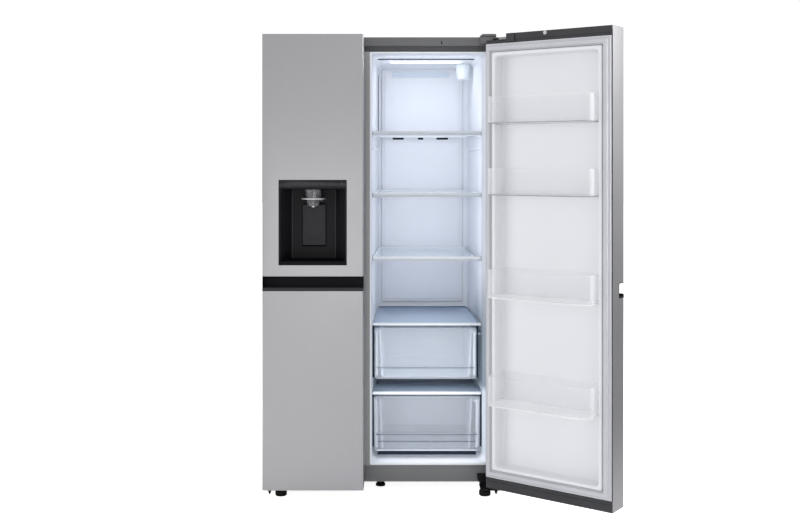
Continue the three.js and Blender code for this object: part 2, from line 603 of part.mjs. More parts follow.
// fresh food door, swung open about its pins
const swing = new THREE.Group();
swing.position.set( HX, HINGE_Y, 0 );
swing.rotation.z = THREE.MathUtils.degToRad( OPEN_ANGLE );
root.add( swing );
const fridgeDoor = new THREE.Group();
fridgeDoor.position.set( - HX, - HINGE_Y, 0 );
swing.add( fridgeDoor );
for ( const [ k, g ] of Object.entries( door( FRIDGE_DOOR, mirrored ) ) ) mesh( `fridge_door_${ k }`, g, doorMaterials[ k ], fridgeDoor );
BIN_LEVELS.forEach( ( [ z0, z1 ], i ) => mesh( `door_bin_${ i + 1 }`, mirrored( bin( FRIDGE_DOOR, z0, z1, 190 ) ), 'clear', fridgeDoor ) );

root.position.set( - ORIGIN[ 0 ], - ORIGIN[ 1 ], 0 );

export default root;
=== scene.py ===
# Looks of the side by side refrigerator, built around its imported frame. Sizes are in
# millimetres in the part's design coordinates (X = 0 on the left side, Y = 0 on the
# closed doors' front, Z = 0 on the floor) and are mapped to the frame in metres.

import json
import math

import bmesh
import bpy
from mathutils import Matrix, Vector

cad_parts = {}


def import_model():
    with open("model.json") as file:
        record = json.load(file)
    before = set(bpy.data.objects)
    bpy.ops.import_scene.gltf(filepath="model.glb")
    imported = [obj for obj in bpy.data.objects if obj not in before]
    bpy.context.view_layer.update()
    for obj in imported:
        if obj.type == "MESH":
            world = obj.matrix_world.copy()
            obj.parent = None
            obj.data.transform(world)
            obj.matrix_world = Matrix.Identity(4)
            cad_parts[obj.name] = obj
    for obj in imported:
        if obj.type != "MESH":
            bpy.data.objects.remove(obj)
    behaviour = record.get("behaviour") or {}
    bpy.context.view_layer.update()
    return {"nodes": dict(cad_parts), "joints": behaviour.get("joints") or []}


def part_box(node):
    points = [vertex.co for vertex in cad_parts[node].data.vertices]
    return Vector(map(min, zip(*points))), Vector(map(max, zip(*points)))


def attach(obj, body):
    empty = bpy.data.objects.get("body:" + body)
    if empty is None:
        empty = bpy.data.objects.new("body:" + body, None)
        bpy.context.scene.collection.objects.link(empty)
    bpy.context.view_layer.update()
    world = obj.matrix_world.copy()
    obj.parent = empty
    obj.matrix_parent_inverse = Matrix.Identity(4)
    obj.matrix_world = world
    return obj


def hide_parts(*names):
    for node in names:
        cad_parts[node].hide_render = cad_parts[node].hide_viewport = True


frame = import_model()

SCENE = bpy.context.scene
NODES = frame["nodes"]

# ------------------------------------------------------------------ placement

shell_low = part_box("cabinet_shell")[0]
X0 = shell_low.x - 0.001
Y0 = shell_low.y - 0.117
JOINTS = {j["name"]: j for j in frame["joints"]}
hinge = JOINTS["fridge_door_hinge"]["pos_m"]
HX = (hinge[0] - X0) * 1000
HY = (hinge[1] - Y0) * 1000
SWING = -math.radians(JOINTS["fridge_door_hinge"]["range_deg"][0]) if "range_deg" in JOINTS["fridge_door_hinge"] else math.radians(144)
COS, SIN = math.cos(SWING), math.sin(SWING)
WIDTH = 911.0
FREEZER_W = 383.0
FRIDGE_W = 523.0


def P(x, y, z):
    return Vector((X0 + x / 1000, Y0 + y / 1000, z / 1000))


def on_freezer(u, y, z):
    return P(u, y, z)


def on_fridge(u, y, z):
    dx, dy = WIDTH - u - HX, y - HY
    return P(HX + dx * COS - dy * SIN, HY + dx * SIN + dy * COS, z)


# ------------------------------------------------------------------ mesh tools


def finish_mesh(me, smooth=32):
    bm = bmesh.new()
    bm.from_mesh(me)
    bmesh.ops.remove_doubles(bm, verts=bm.verts, dist=2e-6)
    bmesh.ops.dissolve_degenerate(bm, dist=1e-7, edges=bm.edges)
    bmesh.ops.recalc_face_normals(bm, faces=bm.faces)
    bm.to_mesh(me)
    bm.free()
    for p in me.polygons:
        p.use_smooth = True
    me.set_sharp_from_angle(angle=math.radians(smooth))


def add(name, shells, mat, body, place=P, replaces=(), smooth=32, bevel=0.0, segments=2, cuts=()):
    """One piece from closed shells [(verts, faces)], in design millimetres."""
    verts, faces = [], []
    for v, f in shells:
        n = len(verts)
        verts += [place(*p) for p in v]
        faces += [tuple(i + n for i in q) for q in f]
    me = bpy.data.meshes.new(name)
    me.from_pydata(verts, [], faces)
    finish_mesh(me, smooth)
    ob = bpy.data.objects.new(name, me)
    SCENE.collection.objects.link(ob)
    if cuts:
        carve(ob, cuts, place, smooth)
    ob.data.materials.clear()
    ob.data.materials.append(mat)
    if bevel:
        rounded_edges(ob, bevel, segments)
    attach(ob, body)
    if replaces:
        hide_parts(*replaces)
    return ob


def rounded_edges(ob, width, segments=2, angle=38):
    m = ob.modifiers.new("edges", "BEVEL")
    m.width = width / 1000
    m.segments = segments
    m.limit_method = "ANGLE"
    m.angle_limit = math.radians(angle)
    m.harden_normals = True
    m.use_clamp_overlap = True


def carve(ob, cuts, place, smooth):
    verts, faces = [], []
    for v, f in cuts:
        n = len(verts)
        verts += [place(*p) for p in v]
        faces += [tuple(i + n for i in q) for q in f]
    me = bpy.data.meshes.new("cutter")
    me.from_pydata(verts, [], faces)
    finish_mesh(me)
    cutter = bpy.data.objects.new("cutter", me)
    SCENE.collection.objects.link(cutter)
    m = ob.modifiers.new("cut", "BOOLEAN")
    m.operation = "DIFFERENCE"
    m.solver = "EXACT"
    m.use_self = False
    m.object = cutter
    bpy.context.view_layer.update()
    dg = bpy.context.evaluated_depsgraph_get()
    new = bpy.data.meshes.new_from_object(ob.evaluated_get(dg), depsgraph=dg)
    ob.modifiers.clear()
    new.name = ob.name
    ob.data = new
    bpy.data.objects.remove(cutter)
    finish_mesh(new, smooth)


def loft(loops, ring=False, caps=(True, True)):
    n = len(loops[0])
    m = len(loops)
    verts = [p for l in loops for p in l]
    faces = []
    for i in range(m if ring else m - 1):
        j = (i + 1) % m
        for k in range(n):
            l = (k + 1) % n
            faces.append((i * n + k, i * n + l, j * n + l, j * n + k))
    if not ring:
        if caps[0]:
            faces.append(tuple(range(n))[::-1])
        if caps[1]:
            faces.append(tuple((m - 1) * n + k for k in range(n)))
    return verts, faces


def sheet(rows, closed_rows=True):
    """A grid of rows: each row is an open path, the rows close on themselves. The two
    open ends are capped."""
    m, n = len(rows), len(rows[0])
    verts = [p for r in rows for p in r]
    faces = []
    for i in range(m):
        j = (i + 1) % m
        for k in range(n - 1):
            faces.append((i * n + k, i * n + k + 1, j * n + k + 1, j * n + k))
    faces.append(tuple(i * n for i in range(m)))
    faces.append(tuple(i * n + n - 1 for i in range(m))[::-1])
    return verts, faces


def rr(a0, a1, b0, b1, r, n=6):
    """Rounded rectangle, 4 * (n + 1) points counter-clockwise. r may be four radii:
    low-low, high-low, high-high, low-high."""
    rs = r if isinstance(r, (list, tuple)) else (r, r, r, r)
    pts = []
    for (cx, cy, s, e), q in zip(((a0, b0, 180, 1), (a1, b0, 270, 1), (a1, b1, 0, 1), (a0, b1, 90, 1)), rs):
        q = max(q, 0.02)
        ox = cx + q if cx == a0 else cx - q
        oy = cy + q if cy == b0 else cy - q
        for i in range(n + 1):
            t = math.radians(s + 90 * i / n)
            pts.append((ox + q * math.cos(t), oy + q * math.sin(t)))
    return pts


def fillet(pts, r, n=4):
    """Rounds a polygon's corners. r is one radius or one for each point."""
    out = []
    m = len(pts)
    for i in range(m):
        q = r[i] if isinstance(r, (list, tuple)) else r
        a, b, c = Vector(pts[i - 1]), Vector(pts[i]), Vector(pts[(i + 1) % m])
        if q <= 0:
            out.append(tuple(b))
            continue
        u, v = (a - b), (c - b)
        lu, lv = u.length, v.length
        u.normalize()
        v.normalize()
        ang = math.acos(max(-1, min(1, u.dot(v))))
        if ang > math.radians(176):
            out.append(tuple(b))
            continue
        t = min(q / math.tan(ang / 2), lu * 0.49, lv * 0.49)
        q2 = t * math.tan(ang / 2)
        bis = (u + v).normalized()
        cen = b + bis * (q2 / math.sin(ang / 2))
        p0, p1 = b + u * t, b + v * t
        a0 = math.atan2(p0.y - cen.y, p0.x - cen.x)
        a1 = math.atan2(p1.y - cen.y, p1.x - cen.x)
        d = (a1 - a0 + math.pi) % (2 * math.pi) - math.pi
        for k in range(n + 1):
            t2 = a0 + d * k / n
            out.append((cen.x + q2 * math.cos(t2), cen.y + q2 * math.sin(t2)))
    return out


def rect(a0, a1, b0, b1):
    return [(a0, b0), (a1, b0), (a1, b1), (a0, b1)]


def along_z(pts, z0, z1):
    return loft([[(x, y, z) for x, y in pts] for z in (z0, z1)])


def along_x(pts, x0, x1):
    return loft([[(x, y, z) for y, z in pts] for x in (x0, x1)])


def along_y(pts, y0, y1):
    return loft([[(x, y, z) for x, z in pts] for y in (y0, y1)])


def block(x0, x1, y0, y1, z0, z1):
    return along_z(rect(x0, x1, y0, y1), z0, z1)


def facing(x0, x1, z0, z1, r, y, n=6):
    """A rounded rectangle loop standing at depth y."""
    return [(x, y, z) for x, z in rr(x0, x1, z0, z1, r, n)]


def flat(x0, x1, y0, y1, r, z, n=6):
    return [(x, y, z) for x, y in rr(x0, x1, y0, y1, r, n)]


def soft_box(x0, x1, y0, y1, z0, z1, r, e, n=5, ns=3):
    """Box rounded by r in plan and e over its top and bottom edges."""
    loops = []
    for i in range(ns + 1):
        t = math.pi / 2 * i / ns
        d = e * (1 - math.sin(t))
        loops.append(flat(x0 + d, x1 - d, y0 + d, y1 - d, max(r - d, 0.1), z0 + e * (1 - math.cos(t)), n))
    for i in range(ns + 1):
        t = math.pi / 2 * (1 - i / ns)
        d = e * (1 - math.sin(t))
        loops.append(flat(x0 + d, x1 - d, y0 + d, y1 - d, max(r - d, 0.1), z1 - e * (1 - math.cos(t)), n))
    return loft(loops)


def turn(profile, cx, cy, n=32, sy=1.0, flutes=0, depth=0.0, between=None):
    """A profile of (radius, z) turned about the vertical at (cx, cy)."""
    loops = []
    for r, z in profile:
        loop = []
        for k in range(n):
            t = 2 * math.pi * k / n
            q = max(r, 0.01)
            if flutes and between and between[0] <= z <= between[1]:
                q -= depth * (0.5 - 0.5 * math.cos(t * flutes))
            loop.append((cx + q * math.cos(t), cy + q * math.sin(t) * sy, z))
        loops.append(loop)
    return loft(loops)


def turn_x(profile, cy, cz, n=32):
    """A profile of (radius, x) turned about the X direction."""
    loops = []
    for r, x in profile:
        q = max(r, 0.01)
        loops.append([(x, cy + q * math.cos(2 * math.pi * k / n), cz + q * math.sin(2 * math.pi * k / n)) for k in range(n)])
    return loft(loops)


def turn_y(profile, cx, cz, n=24, sides=None):
    """A profile of (radius, y) turned about the Y direction."""
    loops = []
    for r, y in profile:
        q = max(r, 0.01)
        loops.append([(cx + q * math.cos(2 * math.pi * k / n), y, cz + q * math.sin(2 * math.pi * k / n)) for k in range(n)])
    return loft(loops)


def wire(points, radius, n=8):
    """A round bar along points (x, y, z), with flat ends."""
    loops = []
    m = len(points)
    pts = [Vector(p) for p in points]
    side = None
    for i, p in enumerate(pts):
        t = (pts[min(i + 1, m - 1)] - pts[max(i - 1, 0)]).normalized()
        if side is None:
            side = t.cross(Vector((0, 0, 1)) if abs(t.z) < 0.9 else Vector((1, 0, 0))).normalized()
        side = (side - t * side.dot(t)).normalized()
        up = t.cross(side)
        loops.append([tuple(p + (side * math.cos(2 * math.pi * k / n) + up * math.sin(2 * math.pi * k / n)) * radius) for k in range(n)])
    return loft(loops)


# ------------------------------------------------------------------- materials


class Mat:
    """A node-based material around one Principled shader."""

    def __init__(self, name, **sockets):
        self.m = bpy.data.materials.new(name)
        self.m.use_nodes = True
        self.nt = self.m.node_tree
        self.nt.nodes.clear()
        self.out = self.nt.nodes.new("ShaderNodeOutputMaterial")
        self.p = self.nt.nodes.new("ShaderNodeBsdfPrincipled")
        self.nt.links.new(self.p.outputs[0], self.out.inputs[0])
        self.co = self.nt.nodes.new("ShaderNodeTexCoord").outputs["Object"]
        for k, v in sockets.items():
            self.p.inputs[k.replace("_", " ")].default_value = v

    def at(self, scale):
        n = self.nt.nodes.new("ShaderNodeMapping")
        n.inputs["Scale"].default_value = scale
        self.nt.links.new(self.co, n.inputs["Vector"])
        return n.outputs[0]

    def noise(self, scale, detail=3.0, rough=0.5, stretch=(1, 1, 1)):
        n = self.nt.nodes.new("ShaderNodeTexNoise")
        n.inputs["Scale"].default_value = scale
        n.inputs["Detail"].default_value = detail
        n.inputs["Roughness"].default_value = rough
        self.nt.links.new(self.at(stretch) if stretch != (1, 1, 1) else self.co, n.inputs["Vector"])
        return n.outputs[0]

    def cells(self, scale, feature="F1", stretch=(1, 1, 1)):
        n = self.nt.nodes.new("ShaderNodeTexVoronoi")
        n.feature = feature
        n.inputs["Scale"].default_value = scale
        self.nt.links.new(self.at(stretch) if stretch != (1, 1, 1) else self.co, n.inputs["Vector"])
        return n

    def ramp(self, fac, stops):
        n = self.nt.nodes.new("ShaderNodeValToRGB")
        e = n.color_ramp.elements
        while len(e) < len(stops):
            e.new(0.5)
        for el, (pos, c) in zip(e, stops):
            el.position = pos
            el.color = (*c, 1) if len(c) == 3 else c
        self.nt.links.new(fac, n.inputs[0])
        return n.outputs[0]

    def range(self, fac, a, b, lo=0.3, hi=0.7):
        n = self.nt.nodes.new("ShaderNodeMapRange")
        n.inputs["From Min"].default_value = lo
        n.inputs["From Max"].default_value = hi
        n.inputs["To Min"].default_value = a
        n.inputs["To Max"].default_value = b
        self.nt.links.new(fac, n.inputs[0])
        return n.outputs[0]

    def math(self, op, a, b):
        n = self.nt.nodes.new("ShaderNodeMath")
        n.operation = op
        for i, v in enumerate((a, b)):
            if isinstance(v, (int, float)):
                n.inputs[i].default_value = v
            else:
                self.nt.links.new(v, n.inputs[i])
        return n.outputs[0]

    def mix(self, fac, a, b, blend="MIX"):
        n = self.nt.nodes.new("ShaderNodeMix")
        n.data_type = "RGBA"
        n.blend_type = blend
        for i, v in ((0, fac), (6, a), (7, b)):
            if isinstance(v, (int, float)):
                n.inputs[i].default_value = v
            elif isinstance(v, tuple):
                n.inputs[i].default_value = (*v, 1) if len(v) == 3 else v
            else:
                self.nt.links.new(v, n.inputs[i])
        return n.outputs[2]

    def height(self, h, strength=0.2, distance=0.0005, before=None):
        n = self.nt.nodes.new("ShaderNodeBump")
        n.inputs["Strength"].default_value = strength
        n.inputs["Distance"].default_value = distance
        self.nt.links.new(h, n.inputs["Height"])
        if before is not None:
            self.nt.links.new(before, n.inputs["Normal"])
        return n.outputs[0]

    def position(self, axis):
        n = self.nt.nodes.new("ShaderNodeSeparateXYZ")
        self.nt.links.new(self.co, n.inputs[0])
        return n.outputs[axis]

    def set(self, socket, value):
        self.nt.links.new(value, self.p.inputs[socket])
        return self


def tone(c, k):
    return tuple(max(0.0, min(1.0, v * k)) for v in c)


def plain(name, color, rough, spread=0.05, grain=900, grain_strength=0.12, grain_depth=0.0002, blotch=9, rspread=0.06, **kw):
    """Moulded or painted surface: slow colour drift, a fine grain and uneven gloss."""
    m = Mat(name, **kw)
    slow = m.noise(blotch, 3)
    fine = m.noise(grain, 2, 0.6)
    drift = m.ramp(slow, [(0.3, tone(color, 1 - spread)), (0.7, tone(color, 1 + spread))])
    m.set("Base Color", m.mix(m.range(fine, 0.0, 0.16), drift, tone(color, 0.86)))
    m.set("Roughness", m.math("ADD", m.range(slow, rough - rspread / 2, rough + rspread / 2), m.range(fine, -rspread / 2, rspread / 2)))
    m.set("Normal", m.height(fine, grain_strength, grain_depth))
    return m.m


def brushed(name, color, rough, metal=1.0, aniso=0.45):
    m = Mat(name, Metallic=metal, Anisotropic=aniso, Specular_IOR_Level=0.5)
    hair = m.noise(1.0, 4, 0.65, stretch=(2300, 2300, 9))
    streak = m.noise(1.0, 3, 0.6, stretch=(420, 420, 1.6))
    smudge = m.noise(5.5, 4, 0.55)
    base = m.ramp(hair, [(0.25, tone(color, 0.93)), (0.75, tone(color, 1.06))])
    base = m.mix(m.range(streak, 0.0, 0.35), base, tone(color, 0.95))
    m.set("Base Color", m.mix(m.range(smudge, 0.0, 0.25, 0.45, 0.75), base, tone(color, 0.97)))
    m.set("Roughness", m.math("ADD", m.range(hair, rough - 0.04, rough + 0.05), m.range(smudge, -0.015, 0.03)))
    m.set("Normal", m.height(hair, 0.06, 0.00006))
    return m.m


def see_through(name, color, rough, face, edge, spread=0.04, grain=0.0, coat=0.7, **kw):
    """Clear plastic or glass in thin walls: what is behind shows through, more solid
    where the wall is seen along its length."""
    m = Mat(name, Specular_IOR_Level=0.0, Coat_Weight=coat, Coat_Roughness=rough, Coat_IOR=1.45, **kw)
    slow = m.noise(7, 3)
    fine = m.noise(140, 3)
    m.set("Base Color", m.ramp(slow, [(0.3, tone(color, 1 - spread)), (0.7, tone(color, 1 + spread))]))
    m.set("Roughness", m.range(slow, rough, rough + 0.05))
    lw = m.nt.nodes.new("ShaderNodeLayerWeight")
    lw.inputs[0].default_value = 0.5
    m.set("Alpha", m.range(lw.outputs["Facing"], face, edge, 0.15, 1.0))
    if grain:
        m.set("Normal", m.height(fine, grain, 0.0004))
    return m.m


def spangle(name, color, rough):
    m = Mat(name, Metallic=0.85)
    c = m.cells(95)
    slow = m.noise(6, 4)
    m.set("Base Color", m.mix(m.range(slow, 0, 0.4), m.ramp(c.outputs["Color"], [(0.0, tone(color, 0.9)), (1.0, tone(color, 1.08))]), tone(color, 0.88)))
    m.set("Roughness", m.range(c.outputs["Color"], rough - 0.07, rough + 0.08, 0, 1))
    m.set("Normal", m.height(m.noise(260, 3), 0.08, 0.0002))
    return m.m


def foamy(name, color):
    m = Mat(name, Roughness=0.95)
    c = m.cells(260)
    m.set("Base Color", m.ramp(c.outputs["Distance"], [(0.0, tone(color, 0.8)), (0.5, color)]))
    m.set("Normal", m.height(c.outputs["Distance"], 0.6, 0.001))
    return m.m


STEEL = brushed("m_door_steel", (0.42, 0.42, 0.432), 0.38)
# One grey case paint in lit and shaded copies: the mullion's copy is much lighter and the kick rail's a little lighter,
# painted light; the top rail's copy is much darker, a painted shadow under the top flange.
CASE = plain("m_case_paint", (0.150, 0.152, 0.156), 0.46, 0.035, grain=1300, grain_strength=0.1, grain_depth=0.0001, Metallic=0.25)
MULLION_LIT = plain("m_mullion_lit_paint", (0.33, 0.332, 0.335), 0.46, 0.035, grain=1300, grain_strength=0.1, grain_depth=0.0001, Metallic=0.25)
KICK_LIT = plain("m_kick_lit_paint", (0.178, 0.180, 0.184), 0.5, 0.04, grain=1300, grain_strength=0.1, grain_depth=0.0001, Metallic=0.2)
RAIL_IN_SHADOW = plain("m_rail_shadowed_paint", (0.060, 0.064, 0.066), 0.46, 0.035, grain=1300, grain_strength=0.1, grain_depth=0.0001, Metallic=0.25)


def liner_plastic(name, color, low, z0, z1):
    """Glossy white tub with painted shade: cooler and darker towards its bottom."""
    m = Mat(name)
    slow = m.noise(3, 3)
    fine = m.noise(420, 2, 0.6)
    drift = m.ramp(slow, [(0.3, tone(color, 0.988)), (0.7, tone(color, 1.012))])
    # painted shade: darker towards the bottom, fading out just above the floor
    painted_shade_ramp = m.math("MULTIPLY", m.range(m.position(2), 1.0, 0.0, z0, z1), m.range(m.position(2), 0.0, 1.0, 0.112, 0.14))
    shade = m.mix(painted_shade_ramp, drift, low)
    # painted shade on the hinge side wall beside the drawers, where the open door shades it
    wall = m.math("MULTIPLY", m.range(m.position(0), 0.0, 0.85, 0.166, 0.176), m.math("MULTIPLY", m.range(m.position(2), 0.0, 1.0, 0.375, 0.40), m.range(m.position(2), 1.0, 0.0, 0.60, 0.86)))
    shade = m.mix(wall, shade, (0.15, 0.20, 0.245))
    m.set("Base Color", m.mix(m.range(fine, 0.0, 0.16), shade, tone(color, 0.86)))
    m.set("Roughness", m.math("ADD", m.range(slow, 0.31, 0.37), m.range(fine, -0.03, 0.03)))
    m.set("Normal", m.height(fine, 0.05, 0.0002))
    return m.m


LINER = liner_plastic("m_liner", (0.835, 0.855, 0.905), (0.66, 0.71, 0.77), 0.40, 0.72)
DOOR_LINER = plain("m_door_liner", (0.79, 0.795, 0.825), 0.34, 0.012, grain=420, grain_strength=0.05, grain_depth=0.0002, blotch=3)
# one white duct plastic in two copies: a darker bluish one for the outlet grille, painted shade, and a lighter one for
# its slats, painted light
GRILLE_SHADED = plain("m_grille", (0.64, 0.73, 0.84), 0.4, 0.02, grain=600, grain_strength=0.05)
SLAT_LIT = plain("m_slat_painted_light", (0.82, 0.87, 0.94), 0.4, 0.02, grain=600, grain_strength=0.05)
FOAM = foamy("m_foam", (0.88, 0.80, 0.60))
ZINC = spangle("m_galvanised", (0.60, 0.61, 0.62), 0.42)
BRACKET = plain("m_black_steel", (0.007, 0.007, 0.008), 0.45, 0.12, grain=1500, grain_strength=0.2, grain_depth=0.0001, Specular_IOR_Level=0.18)
POT = plain("m_compressor", (0.03, 0.03, 0.034), 0.38, 0.15, grain=500, Metallic=0.2)
COVER = plain("m_hinge_cover", (0.135, 0.135, 0.14), 0.5, 0.06, grain=1600, grain_strength=0.35, grain_depth=0.00015)
TRIM = plain("m_white_trim", (0.90, 0.935, 0.965), 0.3, 0.01, grain=300, grain_strength=0.03)
# darker copies of the white trim for the crisper covers' rims and the shelves' lips: painted shade under the bright
# noses
TRIM_SHADED = plain("m_trim_painted_shade", (0.42, 0.49, 0.56), 0.4, 0.02, grain=300, grain_strength=0.03)
SOFT_TRIM = see_through("m_soft_trim", (0.90, 0.945, 1.0), 0.2, 0.62, 0.9)
LIP_TRIM_SHADED = see_through("m_lip_trim_painted_shade", (0.74, 0.79, 0.86), 0.2, 0.42, 0.7)
GLASS = see_through("m_shelf_glass", (0.72, 0.82, 0.90), 0.03, 0.07, 0.40)
CLEAR = see_through("m_clear_plastic", (0.93, 0.94, 0.96), 0.09, 0.04, 0.50, grain=0.03, coat=0.06)
DRAWER = see_through("m_drawer_plastic", (0.78, 0.83, 0.90), 0.10, 0.26, 0.72, grain=0.04)
# a darker copy of the drawer plastic for the lower drawer: painted shade
DRAWER_SHADED = see_through("m_drawer_plastic_shaded", (0.64, 0.68, 0.74), 0.10, 0.28, 0.74, grain=0.04)
POST = see_through("m_drawer_post", (0.93, 0.95, 1.0), 0.2, 0.85, 0.97)
# dark see-through plastic for painted shade in the lower drawer
STEP_SHADE = see_through("m_drawer_painted_shade", (0.075, 0.095, 0.115), 0.2, 0.86, 0.95)


def cover_glass(name, y0, y1, near, far, a0, a1):
    """Tinted glass with painted shade: it reads darker towards the back, where it lies in shade."""
    m = Mat(name, Specular_IOR_Level=0.0, Coat_Weight=1.0, Coat_Roughness=0.04, Coat_IOR=1.5)
    drift = m.noise(7, 3)
    painted_shade_ramp = m.range(m.position(1), 0.0, 1.0, Y0 + y0 / 1000, Y0 + y1 / 1000)
    m.set("Base Color", m.mix(m.range(drift, 0.0, 0.08), m.mix(painted_shade_ramp, near, far), (0.30, 0.38, 0.46)))
    m.set("Roughness", m.range(drift, 0.04, 0.09))
    m.set("Alpha", m.range(painted_shade_ramp, a0, a1, 0.0, 1.0))
    return m.m


# the crisper covers' glass, with painted shade towards the back
UPPER_GLASS = cover_glass("m_cover_glass_upper", 420, 650, (0.52, 0.65, 0.80), (0.27, 0.40, 0.60), 0.78, 0.85)
LOWER_GLASS = cover_glass("m_cover_glass_lower", 290, 400, (0.46, 0.55, 0.66), (0.035, 0.065, 0.105), 0.82, 0.94)
GRIP = plain("m_grip_black", (0.010, 0.010, 0.012), 0.5, 0.1, grain=1400, grain_strength=0.12, grain_depth=0.0001, Specular_IOR_Level=0.08)
LIP = plain("m_lip_grey", (0.024, 0.024, 0.026), 0.5, 0.08, grain=1400, Specular_IOR_Level=0.25)
KEY = plain("m_key_grey", (0.024, 0.024, 0.026), 0.2, 0.08, grain=300, grain_strength=0.02)
# a lighter grey for the dispenser recess's back corners: painted highlight
EDGE = plain("m_edge_highlight", (0.024, 0.024, 0.027), 0.45, 0.08, grain=900)
PADDLE = plain("m_paddle", (0.022, 0.022, 0.025), 0.42, 0.1, grain=1300, grain_strength=0.2, grain_depth=0.0001, Specular_IOR_Level=0.25)


# Black plastic with painted shade: darker towards the bottom, graded from z1 down to z0 and darkest below z0.
def shaded_black(name, color, low, z0, z1):
    m = Mat(name, Specular_IOR_Level=0.12)
    slow = m.noise(9, 3)
    fine = m.noise(1400, 2, 0.6)
    base = m.mix(m.range(m.position(2), 1.0, 0.0, z0, z1), m.ramp(slow, [(0.3, tone(color, 0.9)), (0.7, tone(color, 1.1))]), low)
    m.set("Base Color", m.mix(m.range(fine, 0.0, 0.16), base, low))
    m.set("Roughness", m.range(fine, 0.36, 0.46))
    m.set("Normal", m.height(fine, 0.12, 0.0001))
    return m.m


# the dispenser recess, with painted shade deepening towards its bottom
HOUSING = shaded_black("m_housing_black_painted_shade", (0.0125, 0.0125, 0.0145), (0.0022, 0.0022, 0.003), 0.90, 0.955)
BLACK = plain("m_black_plastic", (0.010, 0.010, 0.012), 0.38, 0.1, grain=1400, grain_strength=0.12, grain_depth=0.0001, Specular_IOR_Level=0.22)
DARK = plain("m_dark_grey_plastic", (0.046, 0.046, 0.050), 0.5, 0.1, grain=1500, grain_strength=0.3, grain_depth=0.00015, Specular_IOR_Level=0.3)
GLOSS = plain("m_gloss_black", (0.011, 0.011, 0.013), 0.12, 0.08, grain=200, grain_strength=0.01, rspread=0.03, Specular_IOR_Level=0.2, Coat_Weight=0.08, Coat_Roughness=0.05)
SMOKE = plain("m_smoke_grey", (0.06, 0.06, 0.065), 0.22, 0.08, grain=300, grain_strength=0.02)
CHROME = plain("m_chrome_ring", (0.66, 0.66, 0.68), 0.3, 0.04, grain=800, grain_strength=0.02, Metallic=0.45)


def smoky(name):
    """Smoked moulding of the spout: dark, with painted highlights as bright upright streaks and glinting flecks."""
    m = Mat(name, Roughness=0.14, Coat_Weight=1.0, Coat_Roughness=0.04)
    streak = m.noise(1.0, 4, 0.7, stretch=(190, 190, 14))
    painted_glint = m.noise(230, 2, 0.5)
    # the brightest streaks are painted highlights
    base = m.ramp(streak, [(0.34, (0.018, 0.018, 0.020)), (0.52, (0.05, 0.05, 0.053)), (0.66, (0.26, 0.26, 0.27))])
    m.set("Base Color", m.mix(m.range(painted_glint, 0.0, 0.5, 0.52, 0.68), base, (0.30, 0.30, 0.31)))
    m.set("Normal", m.height(streak, 0.5, 0.001, m.height(painted_glint, 0.2, 0.0004)))
    return m.m


CHUTE = smoky("m_chute")
TRAY = plain("m_tray_black", (0.0045, 0.0045, 0.006), 0.6, 0.1, grain=900, grain_strength=0.1, Specular_IOR_Level=0.0)
GASKET = plain("m_gasket", (0.565, 0.57, 0.60), 0.6, 0.03, grain=700, grain_strength=0.15, Specular_IOR_Level=0.15)
RUBBER = plain("m_foot", (0.006, 0.006, 0.007), 0.6, 0.15, grain=900, grain_strength=0.35, Specular_IOR_Level=0.18)
SCREW = plain("m_screw", (0.32, 0.32, 0.33), 0.35, 0.08, grain=900, Metallic=0.9)
SHADE = plain("m_dark_slot", (0.02, 0.024, 0.03), 0.7, 0.1, grain=900, Specular_IOR_Level=0.2)
# painted shadow for the gaps beside and under the drawers
SHADOW_GAP = plain("m_gap_painted_shadow", (0.012, 0.022, 0.036), 0.7, 0.1, grain=900, Specular_IOR_Level=0.15)
ICE_TRAY = plain("m_ice_grey", (0.42, 0.45, 0.48), 0.4, 0.05, grain=500)


def lens_material():
    m = Mat("m_lamp_lens", Roughness=0.25)
    ribs = m.noise(1.0, 2, 0.5, stretch=(600, 40, 40))
    col = m.ramp(ribs, [(0.3, (0.90, 0.96, 1.0)), (0.7, (0.97, 0.99, 1.0))])
    m.set("Base Color", col)
    m.set("Emission Color", col)
    m.p.inputs["Emission Strength"].default_value = 1.6
    m.set("Normal", m.height(ribs, 0.2, 0.0003))
    return m.m


LENS = lens_material()

# ------------------------------------------------------------------ cavity shape

LINER_T = 3.0
BACK = 743.0
SIDE = [(117.3, 103.3), (560, 103.3), (600, 345), (BACK, 365), (BACK, 1703), (117.3, 1708.7)]
# outer faces of each tub's side walls, as (y, x)
FRIDGE = {"left": [(122, 405.6), (190, 407.5), (BACK, 421)], "right": [(122, 867.7), (160, 867.2), (200, 849), (BACK, 827)]}
FREEZER = {"left": [(122, 43.3), (160, 43.8), (200, 62), (BACK, 75)], "right": [(122, 365.4), (190, 363), (BACK, 349)]}


def interp(y, pts):
    if y <= pts[0][0]:
        return pts[0][1]
    for (a, p), (b, q) in zip(pts, pts[1:]):
        if y <= b:
            return p + (q - p) * (y - a) / (b - a)
    return pts[-1][1]


def wall_x(plan, y, left):
    """Inner face of a side wall, with its bends eased."""
    pts = plan["left" if left else "right"]
    x = sum(interp(y + d, pts) for d in (-4, -2, 0, 2, 4)) / 5 if y > 126 else interp(y, pts)
    return x + LINER_T if left else x - LINER_T


def floor_z(y):
    s = 0
    for d in (-9, -6, -3, 0, 3, 6, 9):
        s += interp(y + d, [(117, 106.3), (557.5, 106.3), (597.5, 348), (740, 368)])
    return s / 7


def ceiling_z(y):
    return interp(y, [(117.3, 1705.7), (BACK, 1700)])


